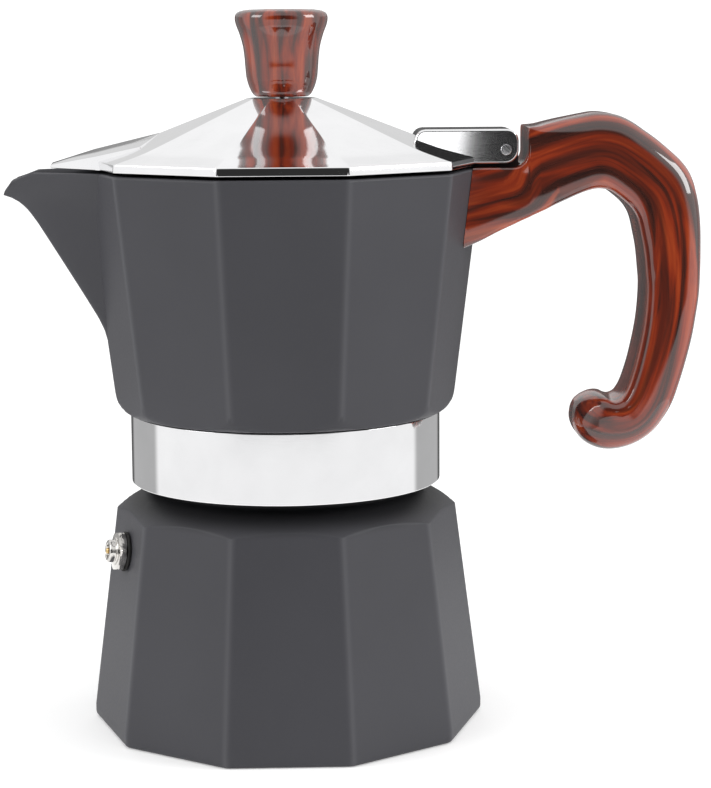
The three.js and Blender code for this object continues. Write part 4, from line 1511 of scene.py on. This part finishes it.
@dataclass
class Studio:
    """Pale floor, soft light all round, and the camera."""

    camera_place: Solid = (0.0, -541.4, 160.5)
    pan: float = -1.735
    down: float = 8.796
    roll: float = -0.374
    lens: float = 107.01
    floor_radius: float = 240.0

    def camera(self) -> None:
        """Puts the camera at the viewing angle."""
        data = bpy.data.cameras.new("camera")
        data.lens = self.lens
        data.sensor_width = 36.0
        data.clip_start = 0.01
        camera = bpy.data.objects.new("camera", data)
        turn = (Matrix.Rotation(math.radians(self.pan), 4, "Z")
                @ Matrix.Rotation(math.radians(90 - self.down), 4, "X")
                @ Matrix.Rotation(math.radians(self.roll), 4, "Z"))
        camera.matrix_world = Matrix.Translation(Vector(self.camera_place) * MM) @ turn
        bpy.context.scene.collection.objects.link(camera)
        bpy.context.scene.camera = camera

    def floor(self) -> None:
        """A plain pale disc under the pot."""
        look = Surface("pale_floor", Roughness=0.9, Specular_IOR_Level=0.1, Emission_Strength=0.2)
        tone = look.noise(look.place, 6.0, 2.0)
        look.put("Base Color", look.ramp(tone, ((0.2, (0.90, 0.90, 0.90)), (0.8, (0.93, 0.93, 0.93)))))
        look.put("Emission Color", (1.0, 1.0, 1.0, 1.0))
        disc = drill(self.floor_radius, -3.0, -0.02, 128)
        disc.name = "floor"
        dressed(disc, look.material)

    def surround(self) -> None:
        """White light from all round, dimmer in front and low at the back."""
        world = bpy.data.worlds.new("surround")
        world.use_nodes = True
        bpy.context.scene.world = world
        graph = Graph(world.node_tree)
        graph.tree.nodes.clear()
        _, y, z = graph.split(graph.node("ShaderNodeTexCoord").outputs["Generated"])
        low = graph.math("SUBTRACT", 1.0, graph.smooth_step(z, 0.06, 0.2))
        back = graph.math("ADD", graph.math("MULTIPLY", graph.smooth_step(y, 0.3, 0.42), 0.54),
                          graph.math("MULTIPLY", graph.smooth_step(y, 0.88, 0.94), 0.37))
        ahead = graph.smooth_step(graph.math("MULTIPLY", y, -1.0), 0.66, 0.9)
        level = graph.math("MULTIPLY", graph.smooth_step(z, -0.172, -0.152),
                           graph.math("SUBTRACT", 1.0, graph.smooth_step(z, 0.4, 0.62)))
        front = graph.math("MULTIPLY", graph.math("MULTIPLY", ahead, level), 0.99)
        haze = graph.math("MULTIPLY", graph.smooth_step(y, 0.55, 0.9),
                          graph.math("SUBTRACT", 1.0, graph.smooth_step(z, 0.3, 0.55)))
        dim = graph.math("ADD", graph.math("MAXIMUM", graph.math("MULTIPLY", back, low),
                                           graph.math("MULTIPLY", haze, 0.3)), front)
        light = graph.math("SUBTRACT", 1.02, dim)
        seen = graph.node("ShaderNodeLightPath").outputs["Is Camera Ray"]
        strength = graph.math("MAXIMUM", light, graph.math("MULTIPLY", seen, 1.2))
        background = graph.node("ShaderNodeBackground", {"Color": (1.0, 1.0, 1.0, 1.0),
                                                         "Strength": strength})
        graph.node("ShaderNodeOutputWorld", {"Surface": background.outputs[0]})

    def card(self) -> None:
        """A small white card in front of the hinge arm that lights half of its side."""
        card = slab("flag", [(40, 88), (75.5, 88), (79.6, 128), (40, 128)], 0.5)
        card.data.transform(Matrix.Translation((0, -480 * MM, 0)))
        card.visible_camera = False
        look = Surface("white_card", Roughness=1.0, Emission_Strength=0.9)
        look.put("Emission Color", look.ramp(look.noise(look.place, 40.0), (
            (0.3, (0.86, 0.86, 0.86)), (0.7, (1.0, 1.0, 1.0)))))
        dressed(card, look.material)

    def softbox(self, name: str, place: Solid, size: float, power: float) -> None:
        """A square soft light that points at the pot.

        Args:
            name: the light's name.
            place: its place in millimetres.
            size: the length of its side.
            power: its power in watts.
        """
        data = bpy.data.lights.new(name, "AREA")
        data.size = size * MM
        data.energy = power
        lamp = bpy.data.objects.new(name, data)
        lamp.location = Vector(place) * MM
        aim = Vector((0, 0, 90)) * MM - lamp.location
        lamp.rotation_euler = aim.to_track_quat("-Z", "Y").to_euler()
        bpy.context.scene.collection.objects.link(lamp)

    def build(self) -> None:
        """Sets up the studio."""
        self.camera()
        self.floor()
        self.card()
        self.surround()
        self.softbox("left_softbox", (-600, -260, 420), 320, 1.5)
        self.softbox("right_softbox", (640, -160, 380), 320, 2.0)
        bpy.context.scene.view_settings.view_transform = "Standard"


def main() -> None:
    """Builds the studio and every group of pieces in order."""
    logging.basicConfig(level=logging.INFO, format="%(name)s %(message)s")
    finishes, patterns = Finishes(), Patterns()
    Studio().build()
    boiler = Boiler(finishes, patterns)
    jug = Jug(finishes, patterns)
    for group in (boiler, SafetyValve(finishes, patterns, boiler), CoffeeGroup(finishes, patterns), jug,
                  Handle(finishes, jug), Lid(finishes, patterns), Knob(finishes)):
        group.build()


if __name__ == "__main__":
    main()
